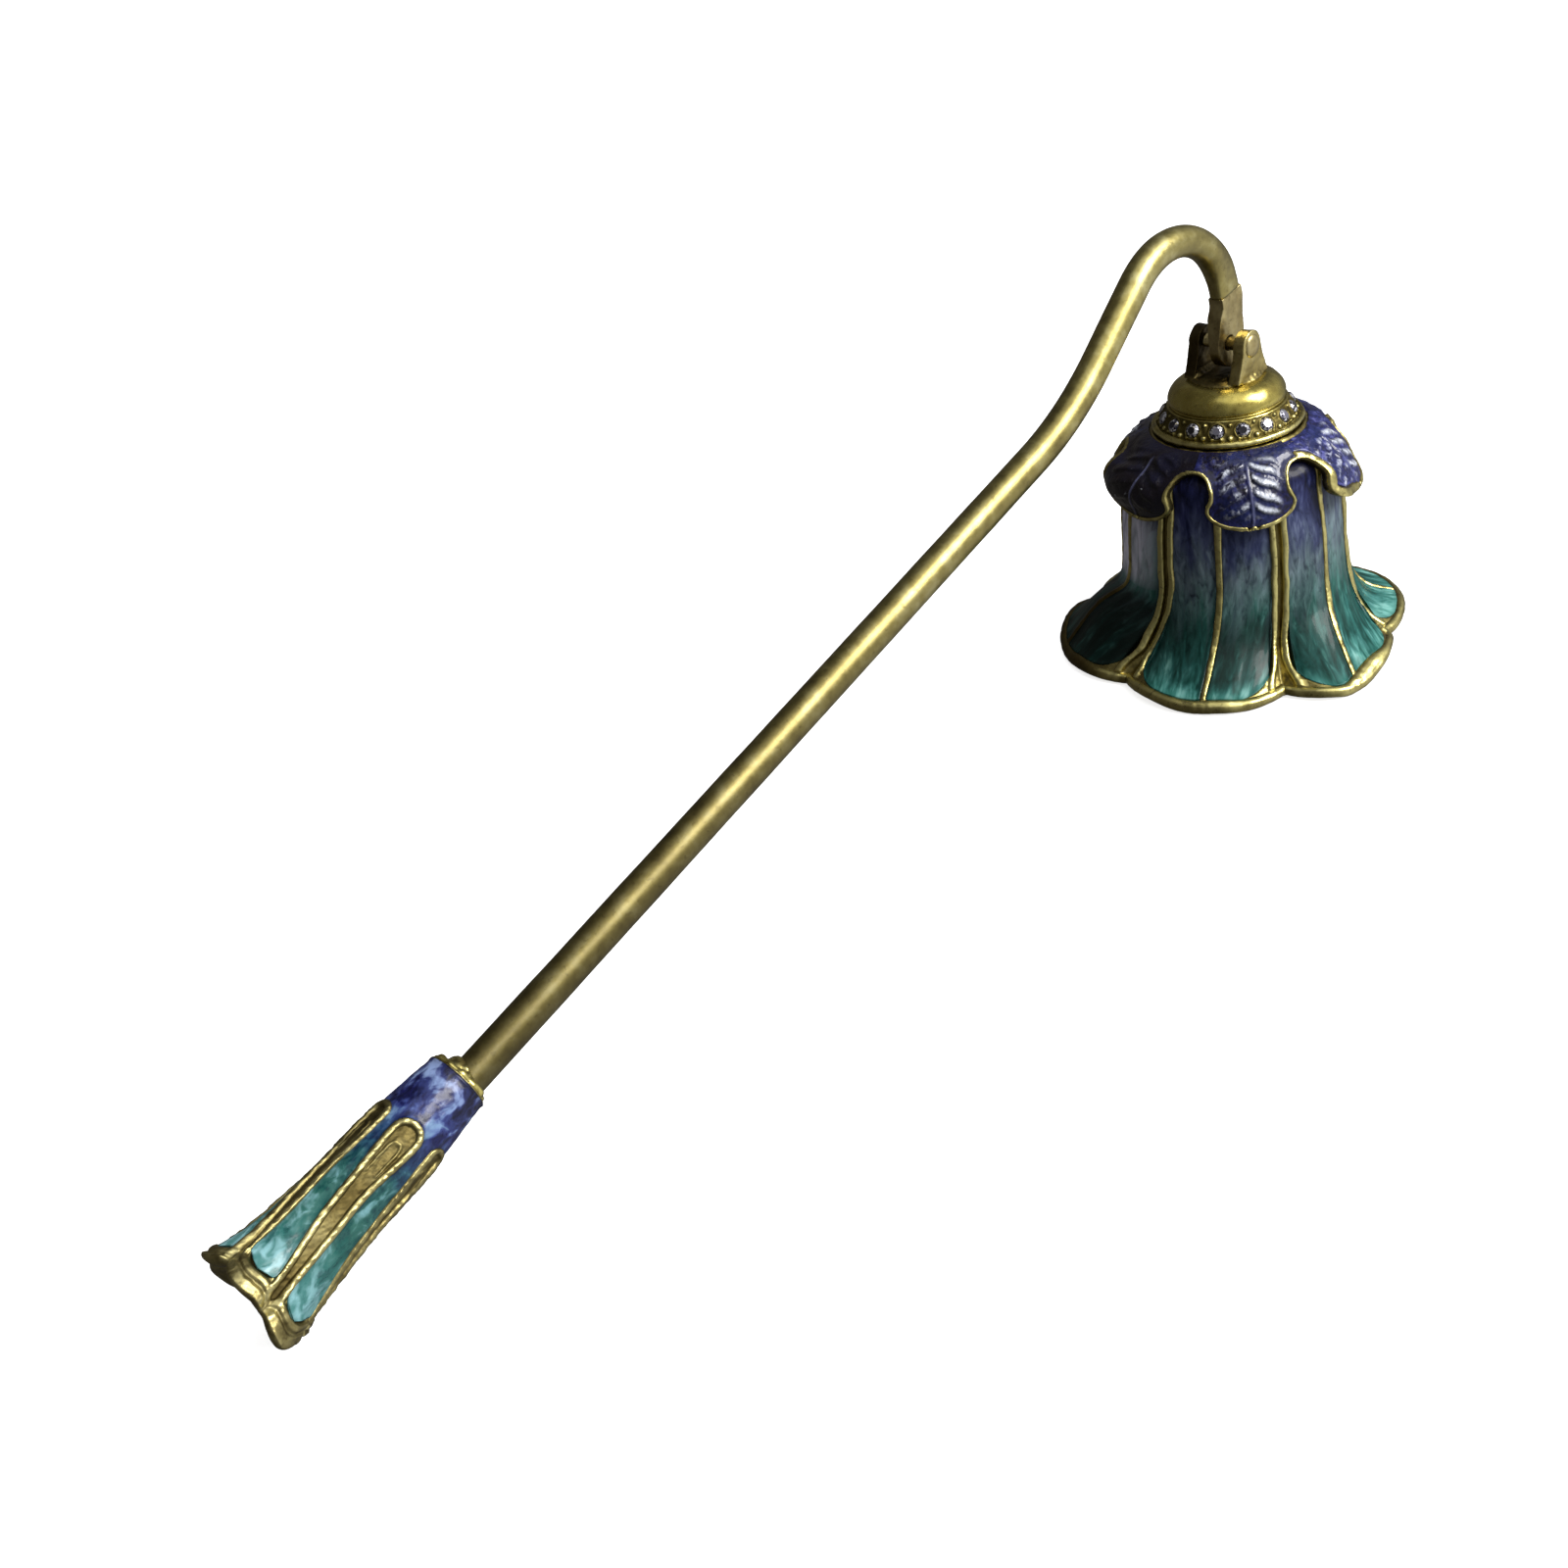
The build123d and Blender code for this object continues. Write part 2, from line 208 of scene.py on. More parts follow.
def remeshed(name, parts, voxel, rounds, wobble, size, seed, body, nodes, mat, keep=None):
    """Cast piece: closed parts joined by a voxel remesh, smoothed and given a slightly uneven skin."""
    me = bpy.data.meshes.new(name + "_raw")
    bm = bmesh.new()
    for verts, faces in parts:
        vs = [bm.verts.new([c * MM for c in v]) for v in verts]
        for f in faces:
            try:
                bm.faces.new([vs[i] for i in f])
            except ValueError:
                pass
    bmesh.ops.recalc_face_normals(bm, faces=bm.faces)
    bm.to_mesh(me)
    bm.free()
    tmp = bpy.data.objects.new(name + "_raw", me)
    bpy.context.scene.collection.objects.link(tmp)
    m = tmp.modifiers.new("r", "REMESH")
    m.mode = "VOXEL"
    m.voxel_size = voxel * MM
    dg = bpy.context.evaluated_depsgraph_get()
    out = bpy.data.meshes.new_from_object(tmp.evaluated_get(dg))
    bpy.data.objects.remove(tmp)
    n = len(out.vertices)
    co = np.zeros(n * 3)
    out.vertices.foreach_get("co", co)
    co = co.reshape(-1, 3)
    ed = np.zeros(len(out.edges) * 2, np.int32)
    out.edges.foreach_get("vertices", ed)
    ed = ed.reshape(-1, 2)
    deg = np.bincount(ed.ravel(), minlength=n).astype(float)[:, None]
    for i in range(rounds):
        for lam in (0.55, -0.57) if i % 3 else (0.55, -0.50):
            s = np.zeros_like(co)
            np.add.at(s, ed[:, 0], co[ed[:, 1]])
            np.add.at(s, ed[:, 1], co[ed[:, 0]])
            co = co + lam * (s / np.maximum(deg, 1) - co)
    out.vertices.foreach_set("co", co.ravel())
    out.update()
    nor = np.zeros(n * 3)
    out.vertices.foreach_get("normal", nor)
    nor = nor.reshape(-1, 3)
    w = wobble * waves(co / MM, size, seed)
    if keep is not None:
        w = w * keep(co / MM)
    co = co + nor * (w * MM)[:, None]
    out.vertices.foreach_set("co", co.ravel())
    out.update()
    out.materials.clear()
    out.materials.append(mat)
    out.polygons.foreach_set("use_smooth", np.full(len(out.polygons), True))
    out.name = name
    obj = bpy.data.objects.new(name, out)
    bpy.context.scene.collection.objects.link(obj)
    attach(obj, body)
    if nodes:
        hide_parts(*nodes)
    return obj


def plate(outline, hole, y0, y1):
    """Flat plate in the XZ plane from y0 to y1, with an optional hole."""
    loops = [outline] + ([hole] if hole else [])
    pts = [p for l in loops for p in l]
    tris = tessellate_polygon([[Vector((x, z, 0)) for x, z in l] for l in loops])
    n = len(pts)
    verts = [(x, y0, z) for x, z in pts] + [(x, y1, z) for x, z in pts]
    faces = [tuple(t) for t in tris] + [tuple(i + n for i in reversed(t)) for t in tris]
    start = 0
    for l in loops:
        m = len(l)
        for i in range(m):
            a, b = start + i, start + (i + 1) % m
            faces.append((a, b, b + n, a + n))
        start += m
    return verts, faces


def revolve_part(profile, centre, n=96, axis="Z"):
    """Closed ring or solid of revolution from (radius, height) corners, as plain verts and faces."""
    verts, faces = [], []
    m = len(profile)
    for i in range(n):
        a = TAU * i / n
        for r, h in profile:
            r = max(r, 1e-4)
            x, y = r * math.cos(a), r * math.sin(a)
            v = (x, y, h) if axis == "Z" else (x, h, y)
            verts.append(tuple(c + o for c, o in zip(v, centre)))
    for i in range(n):
        for j in range(m):
            a, b = i * m + j, i * m + (j + 1) % m
            c, d = ((i + 1) % n) * m + (j + 1) % m, ((i + 1) % n) * m + j
            faces.append((a, b, c, d))
    return verts, faces


def circle(cx, cz, r, n, a0=0.0, a1=TAU, end=False):
    k = n if not end else n - 1
    return [(cx + r * math.cos(a0 + (a1 - a0) * i / k), cz + r * math.sin(a0 + (a1 - a0) * i / k)) for i in range(n)]


# ================================================================ materials
def lin(*rgb):
    out = []
    for c in rgb:
        c = c / 255.0
        out.append(c / 12.92 if c <= 0.04045 else ((c + 0.055) / 1.055) ** 2.4)
    return (*out, 1.0)


class Nodes:
    def __init__(self, name):
        self.mat = bpy.data.materials.new(name)
        self.mat.use_nodes = True
        self.t = self.mat.node_tree
        self.t.nodes.clear()
        self.out = self.t.nodes.new("ShaderNodeOutputMaterial")
        self.bsdf = self.t.nodes.new("ShaderNodeBsdfPrincipled")
        self.t.links.new(self.bsdf.outputs[0], self.out.inputs[0])
        self.coord = self.t.nodes.new("ShaderNodeTexCoord")

    def new(self, kind, **kw):
        n = self.t.nodes.new(kind)
        for k, v in kw.items():
            setattr(n, k, v)
        return n

    def link(self, a, b):
        self.t.links.new(a, b)

    def put(self, sock, v):
        if isinstance(v, bpy.types.NodeSocket):
            self.link(v, sock)
        else:
            sock.default_value = v

    def attr(self, name, vector=False):
        n = self.new("ShaderNodeAttribute", attribute_name=name)
        return n.outputs["Vector" if vector else "Fac"]

    def mapped(self, vec, scale):
        n = self.new("ShaderNodeMapping")
        self.put(n.inputs["Vector"], vec)
        n.inputs["Scale"].default_value = scale
        return n.outputs[0]

    def noise(self, vec, scale, detail=3.0, rough=0.55, dist=0.0):
        n = self.new("ShaderNodeTexNoise")
        self.put(n.inputs["Vector"], vec)
        n.inputs["Scale"].default_value = scale
        n.inputs["Detail"].default_value = detail
        n.inputs["Roughness"].default_value = rough
        n.inputs["Distortion"].default_value = dist
        return n.outputs["Fac"]

    def voronoi(self, vec, scale, feature="F1"):
        n = self.new("ShaderNodeTexVoronoi", feature=feature)
        self.put(n.inputs["Vector"], vec)
        n.inputs["Scale"].default_value = scale
        return n.outputs["Distance"]

    def ramp(self, fac, stops, mode="LINEAR"):
        n = self.new("ShaderNodeValToRGB")
        self.put(n.inputs[0], fac)
        r = n.color_ramp
        r.interpolation = mode
        while len(r.elements) < len(stops):
            r.elements.new(0.5)
        for e, (p, c) in zip(r.elements, stops):
            e.position = p
            e.color = c if isinstance(c, tuple) else (c, c, c, 1)
        return n.outputs[0]

    def mix(self, fac, a, b, mode="MIX"):
        n = self.new("ShaderNodeMix", data_type="RGBA", blend_type=mode)
        self.put(n.inputs[0], fac)
        self.put(n.inputs[6], a)
        self.put(n.inputs[7], b)
        return n.outputs[2]

    def math(self, op, a, b=0.0, c=0.0, clamp=False):
        n = self.new("ShaderNodeMath", operation=op, use_clamp=clamp)
        self.put(n.inputs[0], a)
        self.put(n.inputs[1], b)
        if op in ("MULTIPLY_ADD", "SMOOTH_MIN"):
            self.put(n.inputs[2], c)
        return n.outputs[0]

    def remap(self, v, a, b, c, d):
        n = self.new("ShaderNodeMapRange")
        self.put(n.inputs[0], v)
        for i, x in enumerate((a, b, c, d)):
            n.inputs[i + 1].default_value = x
        return n.outputs[0]

    def bump(self, height, strength, distance, normal=None):
        n = self.new("ShaderNodeBump")
        n.inputs["Strength"].default_value = strength
        n.inputs["Distance"].default_value = distance
        self.put(n.inputs["Height"], height)
        if normal is not None:
            self.link(normal, n.inputs["Normal"])
        return n.outputs[0]


def brass(name, base, deep, bright, rough=(0.24, 0.42), patina=0.5, grain=1.0, cavity=True, pit=0.35, painted_falloff=False, under=0.62,
          fork=False, lacquer=0.0):
    """Antique brass: olive patina in the hollows, worn bright on the high places, and painted shade on the faces turned
    down.
    """
    n = Nodes(name)
    p = n.coord.outputs["Object"]
    big = n.noise(p, 160.0, 4.0, 0.6)
    mid = n.noise(p, 620.0, 4.0, 0.6)
    fine = n.noise(p, 2600.0, 3.0, 0.6)
    tone = n.ramp(n.math("MULTIPLY_ADD", mid, 0.45, n.math("MULTIPLY", big, 0.55)),
                  [(0.34, deep), (0.5, base), (0.66, bright)])
    col = n.mix(patina, base, tone)
    if cavity:
        cav = n.attr("cav")
        jit = n.math("MULTIPLY_ADD", n.math("SUBTRACT", mid, 0.5), 0.5, cav)
        col = n.mix(n.remap(jit, 0.05, 0.75, 0.0, 0.88), col, deep)
        wear = n.attr("wear")
        col = n.mix(n.remap(n.math("MULTIPLY_ADD", n.math("SUBTRACT", mid, 0.5), 0.6, wear), 0.35, 0.95, 0.0, 0.75), col, bright)
    geo = n.new("ShaderNodeNewGeometry")
    sep = n.new("ShaderNodeSeparateXYZ")
    n.link(geo.outputs["Normal"], sep.inputs[0])
    # painted shade: faces turned downwards are darkened towards the deep colour, by up to under
    low = n.remap(n.math("MULTIPLY_ADD", n.math("SUBTRACT", big, 0.5), 0.8, sep.outputs[2]), 0.05, -0.75, 0.0, under)
    col = n.mix(low, col, deep)
    specks = n.ramp(n.noise(p, 1500.0, 2.0, 0.5), [(0.30, 1.0), (0.37, 0.0)])
    col = n.mix(n.math("MULTIPLY", specks, 0.35), col, deep)
    if painted_falloff:
        # painted light falloff: the colour darkens towards the handle end, as though less light reached it there
        along = n.new("ShaderNodeSeparateXYZ")
        n.link(p, along.inputs[0])
        at = n.math("MULTIPLY_ADD", n.math("SUBTRACT", big, 0.5), 0.02, along.outputs[0])
        falloff_tone = n.ramp(n.remap(at, -0.064, 0.050, 0.0, 1.0), [(0.0, lin(138, 135, 128)), (0.30, lin(168, 165, 158)), (0.62, lin(212, 210, 206)),
                                                            (1.0, lin(250, 250, 248))])
        col = n.mix(1.0, col, falloff_tone, "MULTIPLY")
        dull = n.remap(at, -0.064, 0.030, 0.15, 0.0)
    if fork:
        # painted shade between the ears and on the rear ear, which faces away from the light
        here = n.new("ShaderNodeSeparateXYZ")
        n.link(p, here.inputs[0])
        y = n.math("MULTIPLY_ADD", n.math("SUBTRACT", mid, 0.5), 0.0010, here.outputs[1])
        between = n.remap(n.math("ABSOLUTE", y), 0.00285, 0.0025, 0.0, 0.86)
        rear = n.remap(y, 0.0018, 0.0027, 0.0, 0.84)
        ear_shade = n.math("MULTIPLY", n.math("MAXIMUM", between, rear), n.remap(here.outputs[2], 0.0381, 0.0386, 0.35, 1.0))
        col = n.mix(ear_shade, col, lin(36, 22, 16))
    n.put(n.bsdf.inputs["Base Color"], col)
    n.bsdf.inputs["Metallic"].default_value = 1.0
    r = n.remap(n.math("MULTIPLY_ADD", fine, 0.35, n.math("MULTIPLY", mid, 0.65)), 0.32, 0.68, rough[0], rough[1])
    if painted_falloff:
        r = n.math("ADD", r, dull)
    if cavity:
        r = n.math("MULTIPLY_ADD", n.attr("cav"), 0.25, r, clamp=True)
    n.put(n.bsdf.inputs["Roughness"], r)
    b1 = n.bump(mid, 0.35 * grain, 0.00012)
    b2 = n.bump(fine, 0.30 * grain, 0.00003, b1)
    b3 = n.bump(n.ramp(n.voronoi(p, 1100.0), [(0.0, 0.0), (0.28, 1.0)]), pit * grain, 0.00003, b2)
    n.link(b3, n.bsdf.inputs["Normal"])
    n.bsdf.inputs["Coat Weight"].default_value = lacquer
    n.bsdf.inputs["Coat Roughness"].default_value = 0.32
    return n.mat


ANTIQUE = dict(base=lin(164, 150, 88), deep=lin(66, 52, 20), bright=lin(230, 220, 146))
m_cast = brass("antique_brass_cast", **ANTIQUE, rough=(0.24, 0.42), patina=0.6, grain=1.0, under=0.35, lacquer=0.15)
m_rod = brass("antique_brass_tube", base=lin(178, 165, 100), deep=lin(112, 98, 52), bright=lin(226, 218, 162),
              rough=(0.31, 0.43), patina=0.6, grain=0.6, cavity=False, pit=0.12, painted_falloff=True, under=0.12, lacquer=0.30)
m_tang = brass("antique_brass_worked", base=lin(176, 160, 112), deep=lin(88, 72, 36), bright=lin(222, 208, 154),
               rough=(0.28, 0.44), patina=0.7, grain=0.8, cavity=False, pit=0.3, under=0.5)
m_fork = brass("antique_brass_fork", base=lin(172, 156, 98), deep=lin(84, 68, 32), bright=lin(226, 212, 150),
               rough=(0.28, 0.44), patina=0.7, grain=0.8, cavity=False, pit=0.3, under=0.4, fork=True)
m_polish = brass("polished_brass", base=lin(200, 184, 98), deep=lin(120, 98, 38), bright=lin(240, 228, 148),
                 rough=(0.22, 0.32), patina=0.5, grain=0.3, cavity=True, pit=0.08, under=0.4, lacquer=0.15)
m_band = brass("antique_brass_band", base=lin(176, 162, 92), deep=lin(74, 63, 30), bright=lin(240, 230, 158),
               rough=(0.22, 0.36), patina=0.6, grain=0.8, cavity=True, pit=0.2, under=0.15)
m_khaki = brass("antique_brass_granular", base=lin(146, 134, 86), deep=lin(62, 50, 22), bright=lin(212, 202, 144),
                rough=(0.30, 0.46), patina=0.75, grain=1.5, cavity=True, pit=0.5)
m_inside = brass("antique_brass_inside", base=lin(116, 98, 50), deep=lin(54, 42, 16), bright=lin(160, 140, 80),
                 rough=(0.40, 0.62), patina=0.8, grain=1.3, cavity=False, pit=0.5)


def steel(name):
    n = Nodes(name)
    p = n.coord.outputs["Object"]
    turn = n.noise(n.mapped(p, (1.0, 1.0, 14.0)), 500.0, 3.0, 0.6)
    mid = n.noise(p, 800.0, 4.0, 0.6)
    col = n.ramp(mid, [(0.3, lin(138, 134, 122)), (0.5, lin(182, 178, 168)), (0.7, lin(206, 204, 198))])
    n.put(n.bsdf.inputs["Base Color"], col)
    n.bsdf.inputs["Metallic"].default_value = 1.0
    n.put(n.bsdf.inputs["Roughness"], n.remap(mid, 0.3, 0.7, 0.26, 0.42))
    n.link(n.bump(turn, 0.4, 0.00003, n.bump(mid, 0.3, 0.00004)), n.bsdf.inputs["Normal"])
    return n.mat


m_steel = steel("plated_steel")


def coat(n, weight, rough):
    n.bsdf.inputs["Coat Weight"].default_value = weight
    n.bsdf.inputs["Coat Roughness"].default_value = rough


def enamel_bell():
    """Brushed enamel: near-black navy under the collar, slate violet, dark teal, turquoise at the lip."""
    n = Nodes("enamel_petals")
    flow = n.attr("flow", True)           # across (mm), up from the lip (mm), petal number x 10
    down = n.attr("down")                 # 0 at the collar, 1 at the lip
    rim = n.attr("rim")                   # 1 beside the brass
    tint_and_light = n.attr("tint_and_light")                 # 0 for the darkest panels, 1 for the lightest: partly the enamel's own tone, partly painted light and shade
    wide = n.noise(n.mapped(flow, (0.50, 0.09, 1.0)), 1.0, 3.0, 0.6, 0.4)
    strokes = n.noise(n.mapped(flow, (0.62, 0.15, 1.0)), 1.0, 2.0, 0.5, 1.0)
    hairs = n.noise(n.mapped(flow, (1.25, 0.40, 1.0)), 1.0, 3.0, 0.5, 0.9)
    mott = n.noise(n.mapped(flow, (0.75, 0.45, 1.0)), 1.0, 4.0, 0.6, 0.8)
    s = n.math("MULTIPLY_ADD", n.math("SUBTRACT", strokes, 0.5), 0.34, down)
    s = n.math("MULTIPLY_ADD", n.math("SUBTRACT", wide, 0.5), 0.26, s)
    s = n.math("MULTIPLY_ADD", n.math("SUBTRACT", tint_and_light, 0.45), 0.16, s)
    dark = n.ramp(s, [(0.00, lin(6, 8, 28)), (0.13, lin(22, 28, 66)), (0.28, lin(50, 58, 92)), (0.44, lin(68, 83, 94)),
                      (0.56, lin(56, 82, 84)), (0.68, lin(16, 52, 48)), (0.84, lin(10, 54, 47)), (0.93, lin(34, 98, 88)),
                      (1.0, lin(68, 138, 126))])
    pale = n.ramp(s, [(0.00, lin(26, 29, 76)), (0.15, lin(60, 66, 116)), (0.30, lin(96, 106, 138)), (0.44, lin(118, 136, 146)),
                      (0.56, lin(104, 134, 134)), (0.68, lin(46, 98, 90)), (0.84, lin(46, 110, 106)), (0.93, lin(86, 150, 146)),
                      (1.0, lin(128, 190, 184))])
    pick = n.math("MULTIPLY_ADD", hairs, 0.45, n.math("MULTIPLY", strokes, 0.55))
    pick = n.math("MULTIPLY_ADD", n.math("SUBTRACT", tint_and_light, 0.5), 0.16, pick)
    col = n.mix(n.remap(pick, 0.36, 0.66, 0.0, 1.0), dark, pale)
    gleam = n.remap(n.math("MULTIPLY_ADD", strokes, 0.55, n.math("MULTIPLY", hairs, 0.45)), 0.56, 0.68, 0.0, 0.5)
    col = n.mix(gleam, col, n.ramp(s, [(0.0, lin(84, 90, 148)), (0.45, lin(132, 146, 162)), (0.8, lin(74, 130, 118)),
                                       (1.0, lin(160, 206, 198))]))
    deep = n.ramp(s, [(0.0, lin(3, 2, 14)), (0.5, lin(10, 18, 38)), (0.75, lin(2, 34, 32)), (1.0, lin(16, 84, 76))])
    dn = n.remap(n.math("MULTIPLY_ADD", hairs, 0.3, n.math("MULTIPLY", mott, 0.7)), 0.47, 0.34, 0.0, 0.6)
    col = n.mix(dn, col, deep)
    col = n.mix(n.math("MULTIPLY", rim, 0.55), col, deep)
    shade = n.attr("shade")               # above 0 darkens the enamel almost black, partly its own dark colour and partly painted shade; below 0 brings a painted sheen
    col = n.mix(n.remap(shade, 0.0, 1.0, 0.0, 0.88), col, lin(8, 12, 9))
    # painted reflection: where the shade value is below 0, the enamel is painted pale lavender as a sheen of light at
    # the grazing edge
    edge_sheen = n.math("MULTIPLY", n.remap(shade, 0.0, -1.0, 0.0, 1.0), n.remap(strokes, 0.34, 0.56, 0.35, 1.0))
    col = n.mix(edge_sheen, col, lin(226, 224, 244))
    n.put(n.bsdf.inputs["Base Color"], col)
    n.bsdf.inputs["Metallic"].default_value = 0.0
    n.put(n.bsdf.inputs["Roughness"], n.remap(hairs, 0.35, 0.65, 0.34, 0.50))
    n.bsdf.inputs["Specular IOR Level"].default_value = 0.14
    coat(n, 0.11, 0.08)
    b1 = n.bump(strokes, 0.25, 0.00020)
    b2 = n.bump(hairs, 0.14, 0.00010, b1)
    n.link(b2, n.bsdf.inputs["Normal"])
    return n.mat


def enamel_leaf():
    n = Nodes("enamel_leaves")
    flow = n.attr("flow", True)
    vein = n.attr("vein")                 # 1 on the lit side of each side vein
    mid = n.attr("mid")                   # 1 on the midrib
    rim = n.attr("rim")
    glint_strength = n.attr("glint_strength")
    tint_and_light = n.attr("tint_and_light")
    brush = n.noise(n.mapped(flow, (0.85, 0.85, 0.85)), 1.0, 3.0, 0.55, 0.9)
    fine = n.noise(n.mapped(flow, (2.3, 2.3, 2.3)), 1.0, 3.0, 0.6, 0.6)
    big = n.noise(n.mapped(flow, (0.30, 0.30, 0.30)), 1.0, 3.0, 0.5, 0.3)
    pick = n.math("MULTIPLY_ADD", n.math("SUBTRACT", fine, 0.5), 0.5, brush)
    # painted light and shade: each leaf is made lighter or darker by its value
    pick = n.math("MULTIPLY_ADD", n.math("SUBTRACT", tint_and_light, 0.4), 0.34, pick)
    col = n.ramp(pick, [(0.30, lin(7, 5, 24)), (0.44, lin(14, 12, 48)), (0.57, lin(22, 25, 78)), (0.70, lin(44, 49, 114)),
                        (0.84, lin(100, 102, 168))])
    col = n.mix(n.remap(big, 0.46, 0.64, 0.0, 0.5), col, lin(20, 38, 96))
    # painted shade: the leaf with the lowest value, the left one, is darkened almost black
    col = n.mix(n.remap(tint_and_light, -0.30, -0.75, 0.0, 0.80), col, lin(13, 7, 12))
    # painted highlight: the lit face of each side vein is painted near-white
    lift = n.math("MULTIPLY_ADD", n.math("SUBTRACT", brush, 0.5), 2.4, glint_strength)
    vein_glint = n.math("MULTIPLY", n.math("MULTIPLY", vein, n.remap(lift, 0.45, 0.95, 0.0, 1.0)), n.remap(fine, 0.34, 0.50, 0.45, 1.0))
    col = n.mix(vein_glint, col, lin(222, 228, 240))
    col = n.mix(n.math("MULTIPLY", mid, 0.5), col, lin(120, 124, 168))
    col = n.mix(n.math("MULTIPLY", rim, 0.35), col, lin(18, 12, 48))
    n.put(n.bsdf.inputs["Base Color"], col)
    n.put(n.bsdf.inputs["Roughness"], n.remap(fine, 0.35, 0.65, 0.26, 0.38))
    n.bsdf.inputs["Specular IOR Level"].default_value = 0.3
    coat(n, 0.45, 0.06)
    b1 = n.bump(brush, 0.35, 0.00030)
    b2 = n.bump(fine, 0.18, 0.00010, b1)
    n.link(b2, n.bsdf.inputs["Normal"])
    return n.mat


def enamel_handle():
    n = Nodes("enamel_handle")
    flow = n.attr("flow", True)
    down = n.attr("down")
    rim = n.attr("rim")
    patch = n.noise(n.mapped(flow, (0.45, 0.45, 0.34)), 1.0, 3.0, 0.55, 0.9)
    brush = n.noise(n.mapped(flow, (0.80, 0.80, 0.55)), 1.0, 2.0, 0.5, 0.6)
    fine = n.noise(n.mapped(flow, (2.6, 2.6, 1.8)), 1.0, 3.0, 0.55, 0.4)
    s = n.math("MULTIPLY_ADD", n.math("SUBTRACT", patch, 0.5), 0.34, down)
    dark = n.ramp(s, [(0.0, lin(8, 8, 40)), (0.18, lin(18, 22, 84)), (0.32, lin(12, 44, 78)), (0.45, lin(10, 62, 66)),
                      (0.62, lin(22, 84, 78)), (0.80, lin(34, 100, 94)), (1.0, lin(56, 120, 116))])
    pale = n.ramp(s, [(0.0, lin(58, 68, 130)), (0.18, lin(76, 94, 160)), (0.32, lin(54, 96, 132)), (0.45, lin(54, 110, 106)),
                      (0.62, lin(66, 114, 104)), (0.80, lin(78, 124, 118)), (1.0, lin(116, 160, 164))])
    pick = n.math("MULTIPLY_ADD", brush, 0.6, n.math("MULTIPLY", patch, 0.4))
    col = n.mix(n.remap(pick, 0.42, 0.64, 0.0, 1.0), dark, pale)
    up = n.remap(n.math("MULTIPLY_ADD", patch, 0.55, n.math("MULTIPLY", brush, 0.45)), 0.53, 0.63, 0.0, 0.6)
    # each panel pales towards its wide end
    up = n.math("MAXIMUM", up, n.math("MULTIPLY", n.remap(down, 0.72, 0.88, 0.0, 0.60), n.remap(brush, 0.42, 0.58, 0.15, 1.0)))
    col = n.mix(up, col, n.ramp(s, [(0.0, lin(156, 176, 220)), (0.4, lin(118, 164, 180)), (1.0, lin(160, 212, 220))]))
    deep = n.ramp(s, [(0.0, lin(4, 4, 24)), (0.4, lin(6, 26, 48)), (0.7, lin(8, 52, 54)), (1.0, lin(30, 84, 84))])
    dn = n.remap(n.math("MULTIPLY_ADD", fine, 0.25, n.math("MULTIPLY", patch, 0.75)), 0.47, 0.36, 0.0, 0.6)
    col = n.mix(dn, col, deep)
    col = n.mix(n.math("MULTIPLY", rim, 0.5), col, deep)
    n.put(n.bsdf.inputs["Base Color"], col)
    n.put(n.bsdf.inputs["Roughness"], n.remap(fine, 0.35, 0.65, 0.24, 0.38))
    n.bsdf.inputs["Specular IOR Level"].default_value = 0.3
    coat(n, 0.13, 0.12)
    b1 = n.bump(brush, 0.40, 0.00020)
    b2 = n.bump(fine, 0.18, 0.00007, b1)
    n.link(b2, n.bsdf.inputs["Normal"])
    return n.mat


def gem():
    """Clear cut stone on foil: each facet takes its own painted brightness, a painted stand-in for light glinting off
    the cut.
    """
    n = Nodes("rhinestone")
    tone = n.attr("tone")
    p = n.coord.outputs["Object"]
    haze = n.noise(p, 1800.0, 3.0, 0.6)
    col = n.ramp(n.math("MULTIPLY_ADD", n.math("SUBTRACT", haze, 0.5), 0.22, tone),
                 [(0.0, lin(20, 18, 26)), (0.35, lin(84, 82, 98)), (0.65, lin(170, 168, 186)), (1.0, lin(240, 240, 248))])
    n.put(n.bsdf.inputs["Base Color"], col)
    n.bsdf.inputs["Metallic"].default_value = 0.75
    n.put(n.bsdf.inputs["Roughness"], n.remap(haze, 0.3, 0.7, 0.03, 0.09))
    n.bsdf.inputs["Coat Weight"].default_value = 1.0
    n.bsdf.inputs["Coat Roughness"].default_value = 0.02
    n.link(n.bump(haze, 0.08, 0.00002), n.bsdf.inputs["Normal"])
    return n.mat


m_petal = enamel_bell()
m_leaf = enamel_leaf()
m_henamel = enamel_handle()
m_gem = gem()

# ================================================================ bell surface
# Directions of the grooves between petals and of the ribs up their middles, on
# the body and at the mouth; the petals are hand-shaped, so these are uneven.
GROOVE_BODY = [-182.5, -122.5, -62.5, -2.5, 57.5, 117.5, 177.5]
GROOVE_MOUTH = [-191.0, -129.8, -74.0, -9.0, 47.0, 98.0, 169.0]
MID_BODY = [-153.4, -93.6, -32.5, 27.5, 87.5, 147.5]
MID_MOUTH = [-157.5, -108.0, -42.0, 19.0, 73.0, 135.0]
NODE_OF = ["petal_enamel_3", "petal_enamel_4", "petal_enamel_5", "petal_enamel_6", "petal_enamel_1", "petal_enamel_2"]
FLARE_UP = [-0.5, -0.3, -1.9, 0.0, 0.3, 1.3]      # how much higher each petal starts to flare

